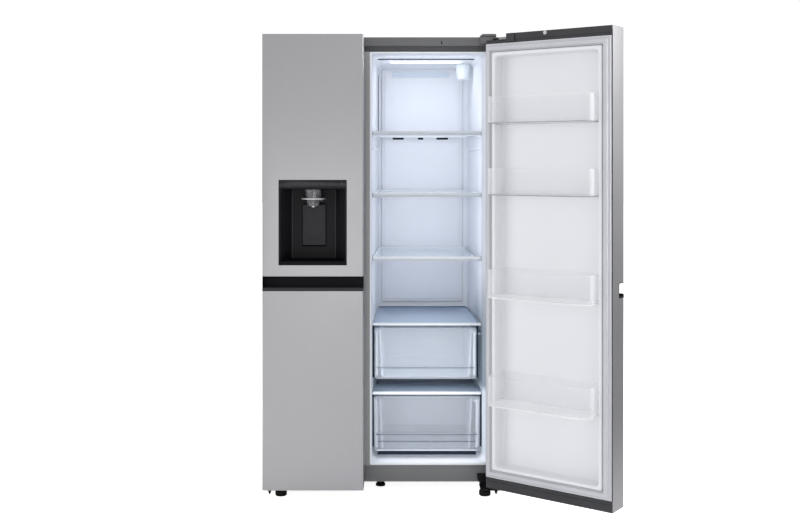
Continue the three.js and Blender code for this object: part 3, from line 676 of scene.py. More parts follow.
def cavity(plan, name, node):
    ys = [117.3, 118.2, 120.5, 124, 130, 140, 150, 155, 158, 161, 164, 168, 174, 182, 190, 196, 199, 202, 205, 210, 230, 300, 400, 500, 540, 546, 552, 558, 564, 570, 580, 590, 596, 602, 608, 614, 640, 680, 716]
    back_r = 22
    y_end = BACK - LINER_T
    inner = []
    for y in ys:
        lip = 2.2 * max(0, 1 - (y - 117.3) / 3.2) ** 2
        r = min(24, 7 + (y - 117.3) * 0.22)
        inner.append(facing(wall_x(plan, y, True) - lip, wall_x(plan, y, False) + lip, floor_z(y) - lip, ceiling_z(y) + lip, r, y))
    for i in range(1, 8):
        t = math.pi / 2 * i / 7
        y = y_end - back_r + back_r * math.sin(t)
        d = back_r * (1 - math.cos(t))
        inner.append(facing(wall_x(plan, y, True) + d, wall_x(plan, y, False) - d, floor_z(y) + d, ceiling_z(y) - d, max(24 - d, 3), y))
    outer = []
    for y in ys + [y_end - 10, BACK]:
        r = min(27, 9 + (y - 117.3) * 0.22)
        outer.append(facing(wall_x(plan, y, True) - 2.9, wall_x(plan, y, False) + 2.9, floor_z(y) - 2.9, ceiling_z(y) + 2.9, r, y))
    shells = [loft(inner[::-1] + outer)]
    return shells


def ledge(plan, left, y0, y1, z0, z1, reach=None, edge=None):
    """A support moulded on a side wall, with rounded nose and ends."""
    s = 1 if left else -1
    loops = []
    ends = [(y0, 0.25), (y0 + 2, 0.6), (y0 + 6, 0.9), (y0 + 14, 1.0), (y1 - 14, 1.0), (y1 - 6, 0.9), (y1 - 2, 0.6), (y1, 0.25)]
    for y, k in ends:
        w = wall_x(plan, y, left)
        x = w + s * reach * k if reach else w + (edge - w) * k
        h = (z1 - z0) / 2
        e = min(2.6, h * 0.95)
        zc = (z0 + z1) / 2
        a = w - s * 1.0
        loop = [(a, z0), (x - s * e, z0), (x - s * e * 0.3, z0 + e * 0.3), (x, z0 + e), (x, z1 - e), (x - s * e * 0.3, z1 - e * 0.3), (x - s * e, z1), (a, z1)]
        loops.append([(p, y, q) for p, q in loop])
    return loft(loops)


SHELVES = [1404, 1158, 905]
FZ, FR = "freezer_door", "fridge_door"

# ------------------------------------------------------------------- cabinet


def keep(node, mat, bevel=0.0, segments=2):
    """A CAD node whose shape is right: it takes a procedural material and soft edges."""
    ob = NODES[node]
    ob.data.materials.clear()
    ob.data.materials.append(mat)
    if bevel:
        w = ob.modifiers.new("weld", "WELD")
        w.merge_threshold = 1e-5
        rounded_edges(ob, bevel, segments)
    return ob


def cabinet_shell():
    # section of the folded sheet: (inset from the outside, y)
    sec = [(0, 857), (0, 121.0), (0.3, 119.2), (1.3, 117.7), (3.0, 117.0), ("f", 117.0), ("f", 118.5), (4.2, 118.5), (2.6, 119.4), (1.8, 120.6), (1.5, 122.5), (1.5, 857)]
    rows = []
    for d, y in sec:
        dx, dz = (42.0, 33.8) if d == "f" else (d, d)
        r = max(5 - d, 0.4) if d != "f" else 0.5
        x0, x1, z1 = 1 + dx, 910 - dx, 1766 - dz
        row = [(x0, y, 38)]
        for k in range(7):
            t = math.pi - math.pi / 2 * k / 6
            row.append((x0 + r + r * math.cos(t), y, z1 - r + r * math.sin(t)))
        for k in range(7):
            t = math.pi / 2 - math.pi / 2 * k / 6
            row.append((x1 - r + r * math.cos(t), y, z1 - r + r * math.sin(t)))
        row.append((x1, y, 38))
        rows.append(row)
    add("cabinet_wrap", [sheet(rows)], CASE, "cabinet", replaces=["cabinet_shell"])


cabinet_shell()

# top rail, mullion and kick rail, each a folded strip with rolled edges
def strip(x0, x1, z0, z1, y=117.2, t=3.8, e=1.0):
    return loft([facing(x0, x1, z0, z1, 0.4, y + t, 2), facing(x0, x1, z0, z1, 0.4, y + e, 2),
                 facing(x0 + 0.3 * e, x1 - 0.3 * e, z0 + 0.3 * e, z1 - 0.3 * e, 0.4, y + 0.3 * e, 2),
                 facing(x0 + e, x1 - e, z0 + e, z1 - e, 0.4, y, 2)])


# the top rail takes the painted-shadow copy of the case paint, the mullion and the kick rail the lighter painted-light
# copies
add("front_rails", [strip(43.3, 867.7, 1709, 1731.7)], RAIL_IN_SHADOW, "cabinet", replaces=["front_frame"])
add("centre_mullion", [strip(365.7, 405.3, 102.4, 1709.6, 117.3)], MULLION_LIT, "cabinet")
add("kick_rail", [strip(43.3, 867.7, 38.3, 103.0), strip(60, 851, 92.2, 100.4, 116.6, 1.5, 0.6)], KICK_LIT, "cabinet")
# small square hole for the hinge harness in the case's top flange
add("flange_mark", [soft_box(680.4, 685.6, 116.5, 118.2, 1738.5, 1749.5, 0.4, 0.3)], SHADE, "cabinet")

cav = cavity(FRIDGE, "fridge", "fridge_liner")
for left in (True, False):
    for top in SHELVES:
        cav.append(ledge(FRIDGE, left, 222, 712, top - 21.5, top - 15.3, reach=9))
    cav.append(ledge(FRIDGE, left, 222, 690, 628, 635.7, reach=9))
    cav.append(ledge(FRIDGE, left, 222, 640, 354.5, 360.7, reach=9))
    cav.append(ledge(FRIDGE, left, 222, 690, 593.6, 599.6, edge=433 if left else 813))
    cav.append(ledge(FRIDGE, left, 222, 585, 323.6, 329.6, edge=433 if left else 813))
    # spare shelf position
    cav.append(ledge(FRIDGE, left, 222, 712, 1331, 1341, reach=7))
add("fridge_cavity", cav, LINER, "cabinet", replaces=["fridge_liner"], smooth=28)

cav = cavity(FREEZER, "freezer", "freezer_liner")
for left in (True, False):
    cav.append(ledge(FREEZER, left, 222, 690, 1323, 1329.7, reach=14))
    cav.append(ledge(FREEZER, left, 222, 712, 1053, 1059.7, reach=9))
    cav.append(ledge(FREEZER, left, 222, 585, 323.6, 329.6, edge=91 if left else 331))
    cav.append(ledge(FREEZER, left, 222, 712, 706, 712, reach=7))
add("freezer_cavity", cav, LINER, "cabinet", replaces=["freezer_liner"], smooth=28)

# rolled edge round the fresh food opening, in the brighter white trim: painted highlight along the lip
def edge_loop(d, y):
    return facing(403.4 + d * 1.3, 867.4 - d * 0.6, 103.3 + d * 1.9, 1708.5 - d, max(5 - d, 1.2), y, 5)


add("liner_edge_highlight", [loft([edge_loop(0, 121.5), edge_loop(0, 117.6), edge_loop(0.7, 116.9), edge_loop(2.6, 116.8), edge_loop(4.4, 117.6), edge_loop(5.0, 119.4), edge_loop(5.0, 121.5)], ring=True)], TRIM, "cabinet")
# dark line down the left back corner of the top space: painted shade in the corner
add("corner_shade_line", [soft_box(425.3, 426.8, 708, 722, 1412, 1664, 0.4, 0.3)], SHADE, "cabinet")
# dark strips beside the drawers' fronts and under the lower one: painted shadow in the gaps
gaps = [soft_box(411.4, 418.4, 212.5, 219, 424, 633, 1.2, 1), soft_box(825.6, 831.6, 212.5, 219, 424, 633, 1.2, 1),
        soft_box(411.2, 417.4, 212.5, 219, 150, 357, 1.2, 1), soft_box(839.6, 846.6, 212.5, 219, 150, 357, 1.2, 1),
        soft_box(432, 822, 208, 212, 119, 132.6, 1.2, 1)]
add("drawer_gap_shadows", gaps, SHADOW_GAP, "cabinet")

keep("insulation_foam", FOAM)

# back wall duct cover: stepped edges and three air slots
duct = loft([facing(440, 799, 660, 1692, 5, 739.6), facing(440, 799, 660, 1692, 5, 733), facing(441.2, 797.8, 661.2, 1690.8, 5, 729.5),
             facing(443, 796, 663, 1689, 5, 728.4), facing(452, 787, 672, 1680, 4, 728.4), facing(453.2, 785.8, 673.2, 1678.8, 4, 726.8), facing(456, 783, 676, 1676, 4, 726.0)])
slots = [loft([facing(a, b, 1380, 1391, 3.5, 720), facing(a, b, 1380, 1391, 3.5, 745)]) for a, b in ((488, 538), (600, 625), (683, 735))]
slots.append(loft([facing(485, 740, 1656, 1684, 5, 715), facing(485, 740, 1656, 1684, 5, 731)]))
add("air_duct", [duct], LINER, "cabinet", replaces=["duct_cover"], cuts=slots)
# dark sheets behind the air slots: painted shade inside the duct
add("air_slot_shade", [soft_box(a + 0.3, b - 0.3, 728.2, 731, 1380.3, 1390.7, 1, 0.3) for a, b in ((488, 538), (600, 625), (683, 735))], SHADE, "cabinet")
# outlet grille high on the duct: its recess in painted shade and its slats in painted light
grille = [loft([facing(485.3, 739.7, 1656.3, 1683.7, 4.6, 732.4), facing(485.3, 739.7, 1656.3, 1683.7, 4.6, 729.4)])]
add("duct_grille", grille, GRILLE_SHADED, "cabinet")
add("duct_slats", [soft_box(487, 738, 727.0, 729.9, z, z + 4.6, 1.4, 0.8) for z in (1657.6, 1666.2, 1674.8)], SLAT_LIT, "cabinet")

# lamp: a long lens in a shallow frame, with a dark strip in front of it, painted shade for a groove there
cz = 1702.6
add("lamp_diffuser", [loft([flat(480, 779, 430, 468, 8, 1701.5), flat(480, 779, 430, 468, 8, 1698.5), flat(482, 777, 432, 466, 7, 1696.6), flat(487, 772, 437, 461, 5, 1696.0)])], LENS, "cabinet", replaces=["lamp_lens"])
add("lamp_bezel", [loft([flat(470, 789, 426, 474, 12, 1704.4), flat(470, 789, 426, 474, 12, 1700.6), flat(471.5, 787.5, 427.5, 472.5, 11, 1699.6), flat(478, 781, 431, 469, 8, 1699.8), flat(479.4, 779.6, 429.6, 468.6, 8, 1703)])], TRIM, "cabinet")
add("ceiling_groove", [soft_box(430, 836, 349, 353.6, 1699.8, 1704.6, 1.4, 0.5)] + [turn([(0, 1704.4), (4.2, 1704.4), (4.2, 1701.4), (3.6, 1700.8), (0, 1700.8)], x, 350.8) for x in (430, 836)], SHADE, "cabinet")

# water filter cup
def dimpled(name, color):
    m = Mat(name, Roughness=0.35)
    c = m.cells(150)
    slow = m.noise(9, 3)
    base = m.ramp(c.outputs["Distance"], [(0.12, tone(color, 0.72)), (0.42, color)])
    m.set("Base Color", m.mix(m.range(slow, 0.0, 0.12), base, tone(color, 0.9)))
    m.set("Normal", m.height(c.outputs["Distance"], 0.4, 0.0008))
    return m.m


CUP = dimpled("m_filter_cup", (0.70, 0.745, 0.79))
cup = [(0, 1633), (20, 1633), (23, 1633.6), (25.0, 1635.5), (26.6, 1640), (29, 1656), (32.2, 1676), (34.4, 1684), (34.9, 1685), (34.9, 1688), (35.5, 1689), (35.5, 1699), (34.8, 1700.4), (0, 1700.4)]
add("filter_cup", [turn(cup, 792, 550, 96, flutes=24, depth=1.1, between=(1638, 1677)), soft_box(774, 810, 547.5, 552.5, 1630.2, 1634, 2, 1.0)], CUP, "water_filter", replaces=["water_filter"])
add("filter_socket", [turn([(35.8, 1704.5), (44, 1704.5), (44, 1701.4), (42.5, 1700.6), (38, 1700.4), (36.2, 1701)], 792, 550, 48)], LINER, "cabinet")

# --------------------------------------------------------------------- shelves


def outline(plan, y0, y1, d, lg=2.0, rg=4.0, r=5.0):
    pts = [(wall_x(plan, y0, True) + lg + d, y0), (wall_x(plan, y0, False) - rg - d, y0), (wall_x(plan, y1, False) - rg - d, y1), (wall_x(plan, y1, True) + lg + d, y1)]
    return fillet(pts, r)


def level(pts, z):
    return [(x, y, z) for x, y in pts]


def front_profile(y0, top, low, depth=11.0):
    """Section (y, z) of a moulded front rail."""
    return fillet([(y0, low + 1.2), (y0 + 1.4, low), (y0 + depth, low), (y0 + depth, top), (y0, top)], [1, 1, 0.6, 1.0, 2.4])


def bar(prof, plan, y, lg=2.0, rg=4.0, e=1.2):
    """The rail from wall to wall, with eased ends."""
    xa = wall_x(plan, y, True) + lg
    xb = wall_x(plan, y, False) - rg
    cy = sum(p[0] for p in prof) / len(prof)
    cz_ = sum(p[1] for p in prof) / len(prof)

    def at(x, k):
        return [(x, cy + (p[0] - cy) * k, cz_ + (p[1] - cz_) * k) for p in prof]

    return loft([at(xa, 0.93), at(xa + e, 1), at(xb - e, 1), at(xb, 0.93)])


for i, top in enumerate(SHELVES, 1):
    o = lambda d, z: level(outline(FRIDGE, 208 + d, 718 - d, d), z)
    ring = loft([o(0.8, top - 15), o(0, top - 14.2), o(0, top - 2.9), o(0.9, top - 2.0), o(6.4, top - 2.0), o(6.9, top - 2.6), o(6.9, top - 8.4), o(12, top - 8.4), o(12, top - 14.4), o(11.4, top - 15)], ring=True)
    add(f"shelf_{i}_rim", [ring], TRIM, "cabinet", replaces=[f"shelf_{i}_frame"])
    add(f"shelf_{i}_nose", [bar(front_profile(205, top, top - (8.8 if i == 3 else 10.6), 2.8), FRIDGE, 205)], TRIM if i == 3 else SOFT_TRIM, "cabinet")
    # the lip under the nose takes the painted-shade copy of the trim
    add(f"shelf_{i}_lip", [bar(fillet([(206.2, top - 17.6), (207.4, top - 18), (207.4, top - 10.9), (206.0, top - 10.9)], 0.3), FRIDGE, 206)], LIP_TRIM_SHADED, "cabinet")
    g = lambda d, z: level(outline(FRIDGE, 216.3, 710.7, 7.3 + d, r=4), z)
    add(f"shelf_{i}_pane", [loft([g(0.6, top - 8), g(0, top - 7.4), g(0, top - 4.6), g(0.6, top - 4)])], GLASS, "cabinet", replaces=[f"shelf_{i}_glass"])


def crisper_cover(name, node, y_back, z0, z1, f0, f1, mat):
    g = lambda d, z: level(outline(FRIDGE, 214.5, y_back - 5.4, d + 5.2, r=4), z)
    add(name + "_pane", [loft([g(0.6, z0 + 0.4), g(0, z0 + 1), g(0, z1 - 1), g(0.6, z1 - 0.5)])], mat, "cabinet", replaces=[node])
    add(name + "_nose", [bar(front_profile(203, f1, f0 + 0.3), FRIDGE, 203)], TRIM, "cabinet")
    o = lambda d, z: level(outline(FRIDGE, 208 + d, y_back - d, d), z)
    # the rim takes the painted-shade copy of the trim
    add(name + "_rim", [loft([o(0.6, z0), o(0, z0 + 0.6), o(0, z1 - 0.6), o(0.6, z1), o(4.6, z1), o(5.0, z1 - 0.5), o(5.0, z0 + 0.8), o(7, z0 + 0.8), o(7, z0)], ring=True)], TRIM_SHADED, "cabinet")


crisper_cover("upper_cover", "upper_crisper_cover", 700, 636, 641.5, 632, 641.9, UPPER_GLASS)
crisper_cover("lower_cover", "lower_crisper_cover", 640, 361, 368.5, 358, 369.2, LOWER_GLASS)


def pane_edge_shade(name, y0, y1, z, inset, mat, back=True):
    """Dark line along a pane's right edge and its back edge: painted shade where the pane meets the walls."""
    right = []
    for y in (y0, y0 + 4, y1 - 4, y1):
        x = wall_x(FRIDGE, y, False) - 4 - inset
        e = 0.8 if y in (y0, y1) else 0
        right.append([(x - 3.4 + e, y, z - 0.3), (x - e, y, z - 0.3), (x - e, y, z + 1.0 - e * 0.5), (x - 3.4 + e, y, z + 1.0 - e * 0.5)])
    shells = [loft(right)]
    if back:
        xa, xb = wall_x(FRIDGE, y1, True) + 2 + inset, wall_x(FRIDGE, y1, False) - 8 - inset
        shells.append(soft_box(xa, xb, y1 - 6, y1 - 1, z - 0.3, z + 3.4, 1.2, 0.8))
    add(name, shells, mat, "cabinet")


# dark teal for the painted shade along the panes' edges
EDGE_SHADE = plain("m_pane_edge_shade", (0.16, 0.22, 0.30), 0.4, 0.05, grain=700)
pane_edge_shade("upper_cover_edge_shade", 222, 692, 641.8, 5.4, EDGE_SHADE)
pane_edge_shade("lower_cover_edge_shade", 222, 632, 368.8, 5.4, EDGE_SHADE, back=False)
pane_edge_shade("shelf_3_edge_shade", 226, 706, 905 - 3.6, 9.5, EDGE_SHADE, back=False)

# -------------------------------------------------------------------- drawers


def drawer(name, node, body, front, z0, z1, x0, x1, flange, back, line, post=9.5, mat=None):
    fa, fb, ta, tb = front  # front's left and right at the bottom, then at the top

    def fx(z):
        k = (z - z0) / (z1 - z0)
        return fa + (ta - fa) * k, fb + (tb - fb) * k

    def panel(d, r, y, lo=0.0, hi=0.0):
        pts = []
        for x, z in rr(0, 1, 0, 1, 0.0001, 5):
            pts.append((x, z))
        base = rr(fa + d, fb - d, z0 + d + lo, z1 - d - hi, r, 5)
        out = []
        for x, z in base:
            a, b = fx(z)
            k = (x - (fa + d)) / ((fb - d) - (fa + d))
            out.append((a + d + (b - d - a - d) * k, y, z))
        return out

    # front: a rounded tray with a raised rim
    front_shell = loft([panel(0.8, 7, 211), panel(0, 8, 210), panel(0, 8, 206.8), panel(0.9, 7.4, 205.4), panel(2.4, 7, 205), panel(7.5, 5, 205), panel(8.6, 4.6, 206.0), panel(9.2, 4.4, 208.6)])
    # handle scoop: the part under the line stands forward, with a finger edge on top
    a0, b0 = fx(line)
    lip = fillet([(205.4, line - 3.6), (205.0, line + 0.4), (206.2, line + 1.8), (209.4, line + 1.8), (209.4, line - 3.6)], 0.7)
    lip_shell = loft([[(a0 + 8, y, z) for y, z in lip], [(b0 - 8, y, z) for y, z in lip]])
    add(name + "_front", [front_shell, lip_shell], mat or DRAWER, body, replaces=[node])
    add(name + "_line", [soft_box(a0 + 9, b0 - 9, 204.7, 206.6, line - 5.4, line - 2.6, 0.6, 0.4)], SMOKE_LINE, body)
    # tub, drawn in to the bottom, open at the top
    zt, zb = z1 - 11, z0 + 5
    mid = (x0 + x1) / 2

    def tub(d, z, r=20):
        k = (zt - z) / (zt - zb)
        s = 9 * k
        return flat(x0 + d + s, x1 - d - s, 211 + d, back - d - s, max(r - d, 2), z)

    body_shell = loft([tub(8, zb), tub(2.5, zb + 2.2), tub(0, zb + 8), tub(0, (zt + zb) / 2), tub(0, zt), tub(0.7, zt + 0.6), tub(1.9, zt + 0.6), tub(2.5, zt), tub(2.5, zb + 9.5), tub(5, zb + 5), tub(10, zb + 3)])
    ribs = []
    for s in (-1, 1):
        xa = (x0 if s < 0 else x1)
        ribs.append(soft_box(min(xa, xa + s * 6.5), max(xa, xa + s * 6.5), 218, back - 6, flange, flange + 3, 2, 0.8))
    add(name + "_tub", [body_shell] + ribs, mat or DRAWER, body)
    # bright corner posts where the sides meet the front
    posts = []
    for s in (-1, 1):
        loops = []
        for z, e in ((z0 + 13, 1.6), (z0 + 14.5, 0.4), (z0 + 18, 0), (z1 - 19, 0), (z1 - 15.5, 0.4), (z1 - 14, 1.6)):
            a, b = fx(z)
            xa = a + 3.2 if s < 0 else b - 3.2 - post
            loops.append([(x, y, z) for x, y in rr(xa + e, xa + post - e, 211.2 + e * 0.5, 218.6 - e, 2.6, 4)])
        posts.append(loft(loops))
    add(name + "_posts", posts, POST, body)


SMOKE_LINE = plain("m_drawer_line", (0.13, 0.155, 0.195), 0.35, 0.04, grain=700)
drawer("upper_bin", "upper_crisper", "upper_crisper", (421, 824, 421, 824), 420, 623, 436, 810, 600, 640, 468)
drawer("lower_bin", "lower_crisper", "lower_crisper", (419, 835, 416, 838), 134, 351, 436, 810, 330, 546, 203, post=12.5, mat=DRAWER_SHADED)
# bright strip along the lower drawer's bottom edge: painted highlight
add("lower_bin_edge_highlight", [soft_box(429, 825, 203.9, 205.6, 135.6, 139.4, 0.8, 0.4)], POST, "lower_crisper")
# dark see-through block at the back of the lower drawer's bottom, before the hump over the compressor: painted shade;
# and a second dark line across the front in the same material
add("lower_bin_shade_block", [soft_box(440, 806, 436, 541, 141.5, 159, 5, 3), soft_box(436, 810, 434.4, 436.2, 141.6, 158, 1, 0.5)], STEP_SHADE, "lower_crisper")
add("lower_bin_second_line", [soft_box(432, 822, 204.7, 206.4, 170.6, 172.2, 0.5, 0.3)], STEP_SHADE, "lower_crisper")
drawer("basket", "freezer_basket", "cabinet", (76, 346, 76, 346), 140, 348, 94, 328, 330, 546, 212)

# ------------------------------------------------------------ freezer cavity

o = lambda d, z: level(outline(FREEZER, 216, 700, d, 2, 2), z)
add("freezer_pane", [loft([o(0.6, 1060), o(0, 1060.6), o(0, 1065.4), o(0.6, 1066)])], GLASS, "cabinet", replaces=["freezer_shelf"])
add("freezer_shelf_nose", [bar(front_profile(205, 1074, 1056), FREEZER, 205, 2, 2)], TRIM, "cabinet")
ice = fillet([(205, 1400), (245, 1330), (690, 1330), (690, 1610), (640, 1660), (215, 1660), (205, 1650)], [18, 14, 6, 10, 10, 6, 6], 4)
inner = [(x, y) for x, y in ice]
add("ice_bin", [loft([[(92 if k else 90, a + (0 if k == 0 else 0), b) for a, b in ice] for k in (0,)] + [[(90 + 2, a, b) for a, b in ice], [(330, a, b) for a, b in ice], [(332, a * 1.0, b) for a, b in ice]])], CLEAR, "cabinet", replaces=["ice_maker"])
add("ice_bin_front", [loft([facing(98, 324, 1420, 1645, 14, 204.9), facing(98, 324, 1420, 1645, 14, 203.8), facing(100, 322, 1422, 1643, 12, 203.2), facing(106, 316, 1428, 1637, 9, 203.2), facing(108, 314, 1430, 1635, 8, 204.2)])], TRIM, "cabinet")
add("ice_mould", [soft_box(120, 302, 300, 600, 1560, 1612, 10, 6), soft_box(112, 310, 240, 300, 1550, 1630, 8, 5)], ICE_TRAY, "cabinet")

# ---------------------------------------------------------------------- doors


def skin_section(w, z, t=1.5, r=4.5):
    out = [(0, 92.7)]
    for k in range(6):
        a = math.pi + math.pi / 2 * k / 5
        out.append((r + r * math.cos(a), r + r * math.sin(a)))
    for k in range(6):
        a = 1.5 * math.pi + math.pi / 2 * k / 5
        out.append((w - r + r * math.cos(a), r + r * math.sin(a)))
    out.append((w, 92.7))
    q = r - t
    out.append((w - t, 92.7))
    for k in range(6):
        a = 2 * math.pi - math.pi / 2 * k / 5
        out.append((w - r + q * math.cos(a), r + q * math.sin(a)))
    for k in range(6):
        a = 1.5 * math.pi - math.pi / 2 * k / 5
        out.append((r + q * math.cos(a), r + q * math.sin(a)))
    out.append((t, 92.7))
    return [(x, y, z) for x, y in out]


def door(prefix, w, place, open_panel=None):
    cuts = [block(-1, 2.2, 4.6, 97, 1743, 1766)]
    if open_panel:
        cuts.append(block(*open_panel))
    add(prefix + "_upper_sheet", [loft([skin_section(w, 848.3), skin_section(w, 1765)])], STEEL, prefix, place, [prefix + "_skin_upper"], cuts=cuts, bevel=0.35)
    add(prefix + "_lower_sheet", [loft([skin_section(w, 39), skin_section(w, 848)])], STEEL, prefix, place, [prefix + "_skin_lower"], cuts=[block(-1, w + 1, -1, 41.8, 792.4, 849)], bevel=0.35)

    # pocket grip
    prof = fillet([(0.4, 792.8), (41.5, 792.8), (41.5, 848), (1.8, 848), (1.8, 846), (39, 846), (39, 799), (13, 799), (10.4, 807.5), (5.2, 807.5), (0.4, 803.4)],
                  [0.6, 0.5, 0.5, 0.5, 0.5, 7, 9, 5, 2.6, 2.8, 5], 5)
    add(prefix + "_pocket", [loft([[(u, y, z) for y, z in prof] for u in (0.05, w - 0.05)])], GRIP, prefix, place, [prefix + "_grip"])

    add(prefix + "_pocket_lip", [loft([[(u, y, z) for y, z in fillet([(0.1, 793.0), (2.6, 793.0), (2.6, 805.4), (0.9, 805.4), (0.1, 803.6)], [0.3, 0.3, 0.5, 0.8, 0.6], 3)] for u in (0.3, w - 0.3)])], LIP, prefix, place)
    end = fillet([(1.0, 793.4), (40.6, 793.4), (40.6, 847.6), (2.2, 847.6), (1.0, 846)], [1, 1, 1, 0.6, 0.6], 3)
    add(prefix + "_pocket_end", [loft([[(u, 20 + (y - 20) * k, 822 + (z - 822) * k) for y, z in end] for u, k in ((0.2, 0.985), (0.7, 1.0), (2.4, 1.0), (2.8, 0.985))])], BLACK, prefix, place)
    # end caps, stepped over the hinge, with a parting line
    for node in ("_top_cap", "_bottom_cap"):
        keep(prefix + node, DARK, 0.9)
    add(prefix + "_cap_seam", [soft_box(2.6, w - 2.6, 95.2, 96.2, 1739.0, 1740.4, 0.3, 0.2), soft_box(2.6, w - 2.6, 95.2, 96.2, 66.0, 67.2, 0.3, 0.2)], SHADE, prefix, place)
    add(prefix + "_cap_joint", [soft_box(2.9, w - 2.9, 95.3, 96.1, 1728.9, 1730.6, 0.3, 0.2)], SHADE, prefix, place)
    add(prefix + "_cap_plug", [turn_y([(0, 93), (7.6, 93), (7.6, 97.4), (6.8, 98.6), (4.4, 99.2), (0, 99.4)], 255, 1756.5, 28)], GASKET, prefix, place)
    # raised block beside the hinge arm
    add(prefix + "_cap_block", [soft_box(92, 127, 92.5, 102.5, 1731.5, 1764.6, 2.6, 2.2)], DARK, prefix, place)

    # inner panel: flange under the gasket, dike and recess
    def L(a, z0, z1, r, y):
        return facing(a, w - a, z0, z1, r, y, 7)

    panel = loft([L(1.9, 81.4, 1729.6, 0.4, 43), L(1.9, 81.4, 1729.6, 0.4, 95.0), L(2.4, 81.9, 1729.1, 0.4, 95.6), L(33.2, 114.2, 1696.8, 3, 95.6), L(33.7, 114.7, 1696.3, 4, 96.6),
                  L(34.0, 115.0, 1696.0, 5, 99), L(34.3, 115.3, 1695.7, 6, 105), L(35.2, 116.2, 1694.8, 7, 108.2), L(37.6, 118.6, 1692.2, 8, 110), L(44.6, 124.6, 1685.6, 11, 110), L(47.6, 127.2, 1682.8, 12, 109.0),
                  L(49.2, 128.7, 1681.3, 13, 106.4), L(49.6, 129.2, 1680.8, 14, 102.5), L(49.6, 129.4, 1680.6, 15, 62), L(50.4, 130.4, 1679.6, 15, 57), L(52.8, 133.2, 1676.8, 14, 53.6), L(56.4, 137, 1673, 12, 52.3), L(61, 142, 1668, 10, 52)])
    cuts = []
    if prefix == FZ:
        # raised back of the dispenser: a hollow swelling that fills an opening in the panel
        def H(d, y):
            return facing(74 + d, 309 - d, 868 + d, 1240 - d, max(26 - d, 8), y, 7)

        cuts.append(loft([facing(75, 308, 869, 1239, 25, 40, 7), facing(75, 308, 869, 1239, 25, 53.5, 7)]))
        add(prefix + "_swell", [loft([facing(97.4, 281.6, 896.2, 1183.4, 3, 96, 7), facing(82, 300, 895, 1183.4, 3, 52, 7), H(0, 50), H(5, 58), H(8, 110), H(10, 128), H(14, 136), H(20, 139.4), H(28, 140)])], DOOR_LINER, prefix, place, smooth=28)
    add(prefix + "_panel", [panel], DOOR_LINER, prefix, place, [prefix + "_liner"], smooth=28, cuts=cuts)
    # dark edge strips between the sheet's returns and the panel
    add(prefix + "_edge_strip", [soft_box(a, b, 92.9, 96.0, 81.5, 1729.5, 0.5, 0.3) for a, b in ((0.4, 2.7), (w - 2.7, w - 0.4))], SHADE, prefix, place)

    # gasket: base, bellows and the magnet tube, mitred at the corners
    sec = [(5.0, 95.7), (4.6, 97), (4.6, 101), (5.4, 103.2), (7.0, 104), (9.5, 104.2), (11.4, 105.2), (12.2, 107), (12.6, 110), (13, 113), (14.6, 114.9), (16.4, 115.2), (24.6, 115.2), (26.4, 114.9),
           (28, 113), (28.2, 110), (27, 107.6), (28.4, 105.6), (31.2, 104.8), (32.8, 103), (32.8, 100.4), (32.8, 97), (32.6, 95.7)]
    ring = loft([facing(a, w - a, 81 + a, 1730 - a, 1.2, y, 3) for a, y in sec], ring=True)
    add(prefix + "_seal", [ring], GASKET, prefix, place, [prefix + "_gasket"], smooth=40)


def door_bin(prefix, name, node, w, z0, z1, front, place):
    def B(d, z, r=40.0, back=0.0):
        x0, x1, y0, y1 = 50.2 + d, w - 50.2 - d, 54.6 + d + back, front - d
        return [(x, y, z) for x, y in rr(x0, x1, y0, y1, (6, 6, max(r - d, 3), max(r - d, 3)), 8)]

    h = z1 - z0
    tray = loft([B(5.5, z0, 40), B(2.2, z0 + 0.8), B(0.4, z0 + 3.0), B(0.0, z0 + 6), B(0.0, z0 + h * 0.5), B(0.0, z1 - 7), B(0.0, z1 - 0.9), B(0.7, z1), B(2.7, z1), B(3.4, z1 - 0.9), B(3.0, z1 - 6),
                 B(2.6, z1 - 8), B(2.6, z0 + 8), B(3.6, z0 + 4.6), B(6.5, z0 + 3.1), B(10, z0 + 3)])
    add(name + "_tray", [tray], CLEAR, prefix, place, [node])
    # foot rail under the front wall
    def F(d, z, t):
        return [(x, y, z) for x, y in rr(50.5 + d, w - 50.5 - d, 60, front - 0.5 - d, (2, 2, 39 - d, 39 - d), 8)]

    rail = loft([F(0.6, z0 - 0.2, 0), F(0.0, z0 + 0.6, 0), F(0.0, z0 + 2.6, 0), F(0.8, z0 + 3.3, 0), F(3.4, z0 + 3.3, 0), F(4.0, z0 + 2.4, 0), F(4.0, z0 + 0.4, 0), F(3.4, z0 - 0.2, 0)], ring=True)
    # the lower bins take the painted-light copy, the upper bins the painted-shade copy
    add(name + "_foot", [rail], BIN_EDGE_LIT if z0 < 900 else BIN_EDGE, prefix, place)


# the bins' foot rails in two copies of one clear plastic: a dark one, painted shade, and a bright one, painted light
BIN_EDGE = see_through("m_bin_edge", (0.30, 0.32, 0.36), 0.1, 0.45, 0.85)
BIN_EDGE_LIT = see_through("m_bin_edge_lit", (0.97, 0.97, 0.98), 0.1, 0.75, 0.95)

door(FZ, FREEZER_W, on_freezer, open_panel=(62, 320, -2, 6, 890, 1213))
door(FR, FRIDGE_W, on_fridge)
for i, (z0, z1) in enumerate([(1423, 1525), (1157, 1257), (776, 880), (376, 484)], 1):
    door_bin(FR, f"fridge_bin_{i}", f"door_bin_{i}", FRIDGE_W, z0, z1, 190, on_fridge)
for i, (z0, z1) in enumerate([(1400, 1502), (470, 575)], 1):
    door_bin(FZ, f"freezer_bin_{i}", f"freezer_door_bin_{i}", FREEZER_W, z0, z1, 178, on_freezer)

# ------------------------------------------------------------------ dispenser

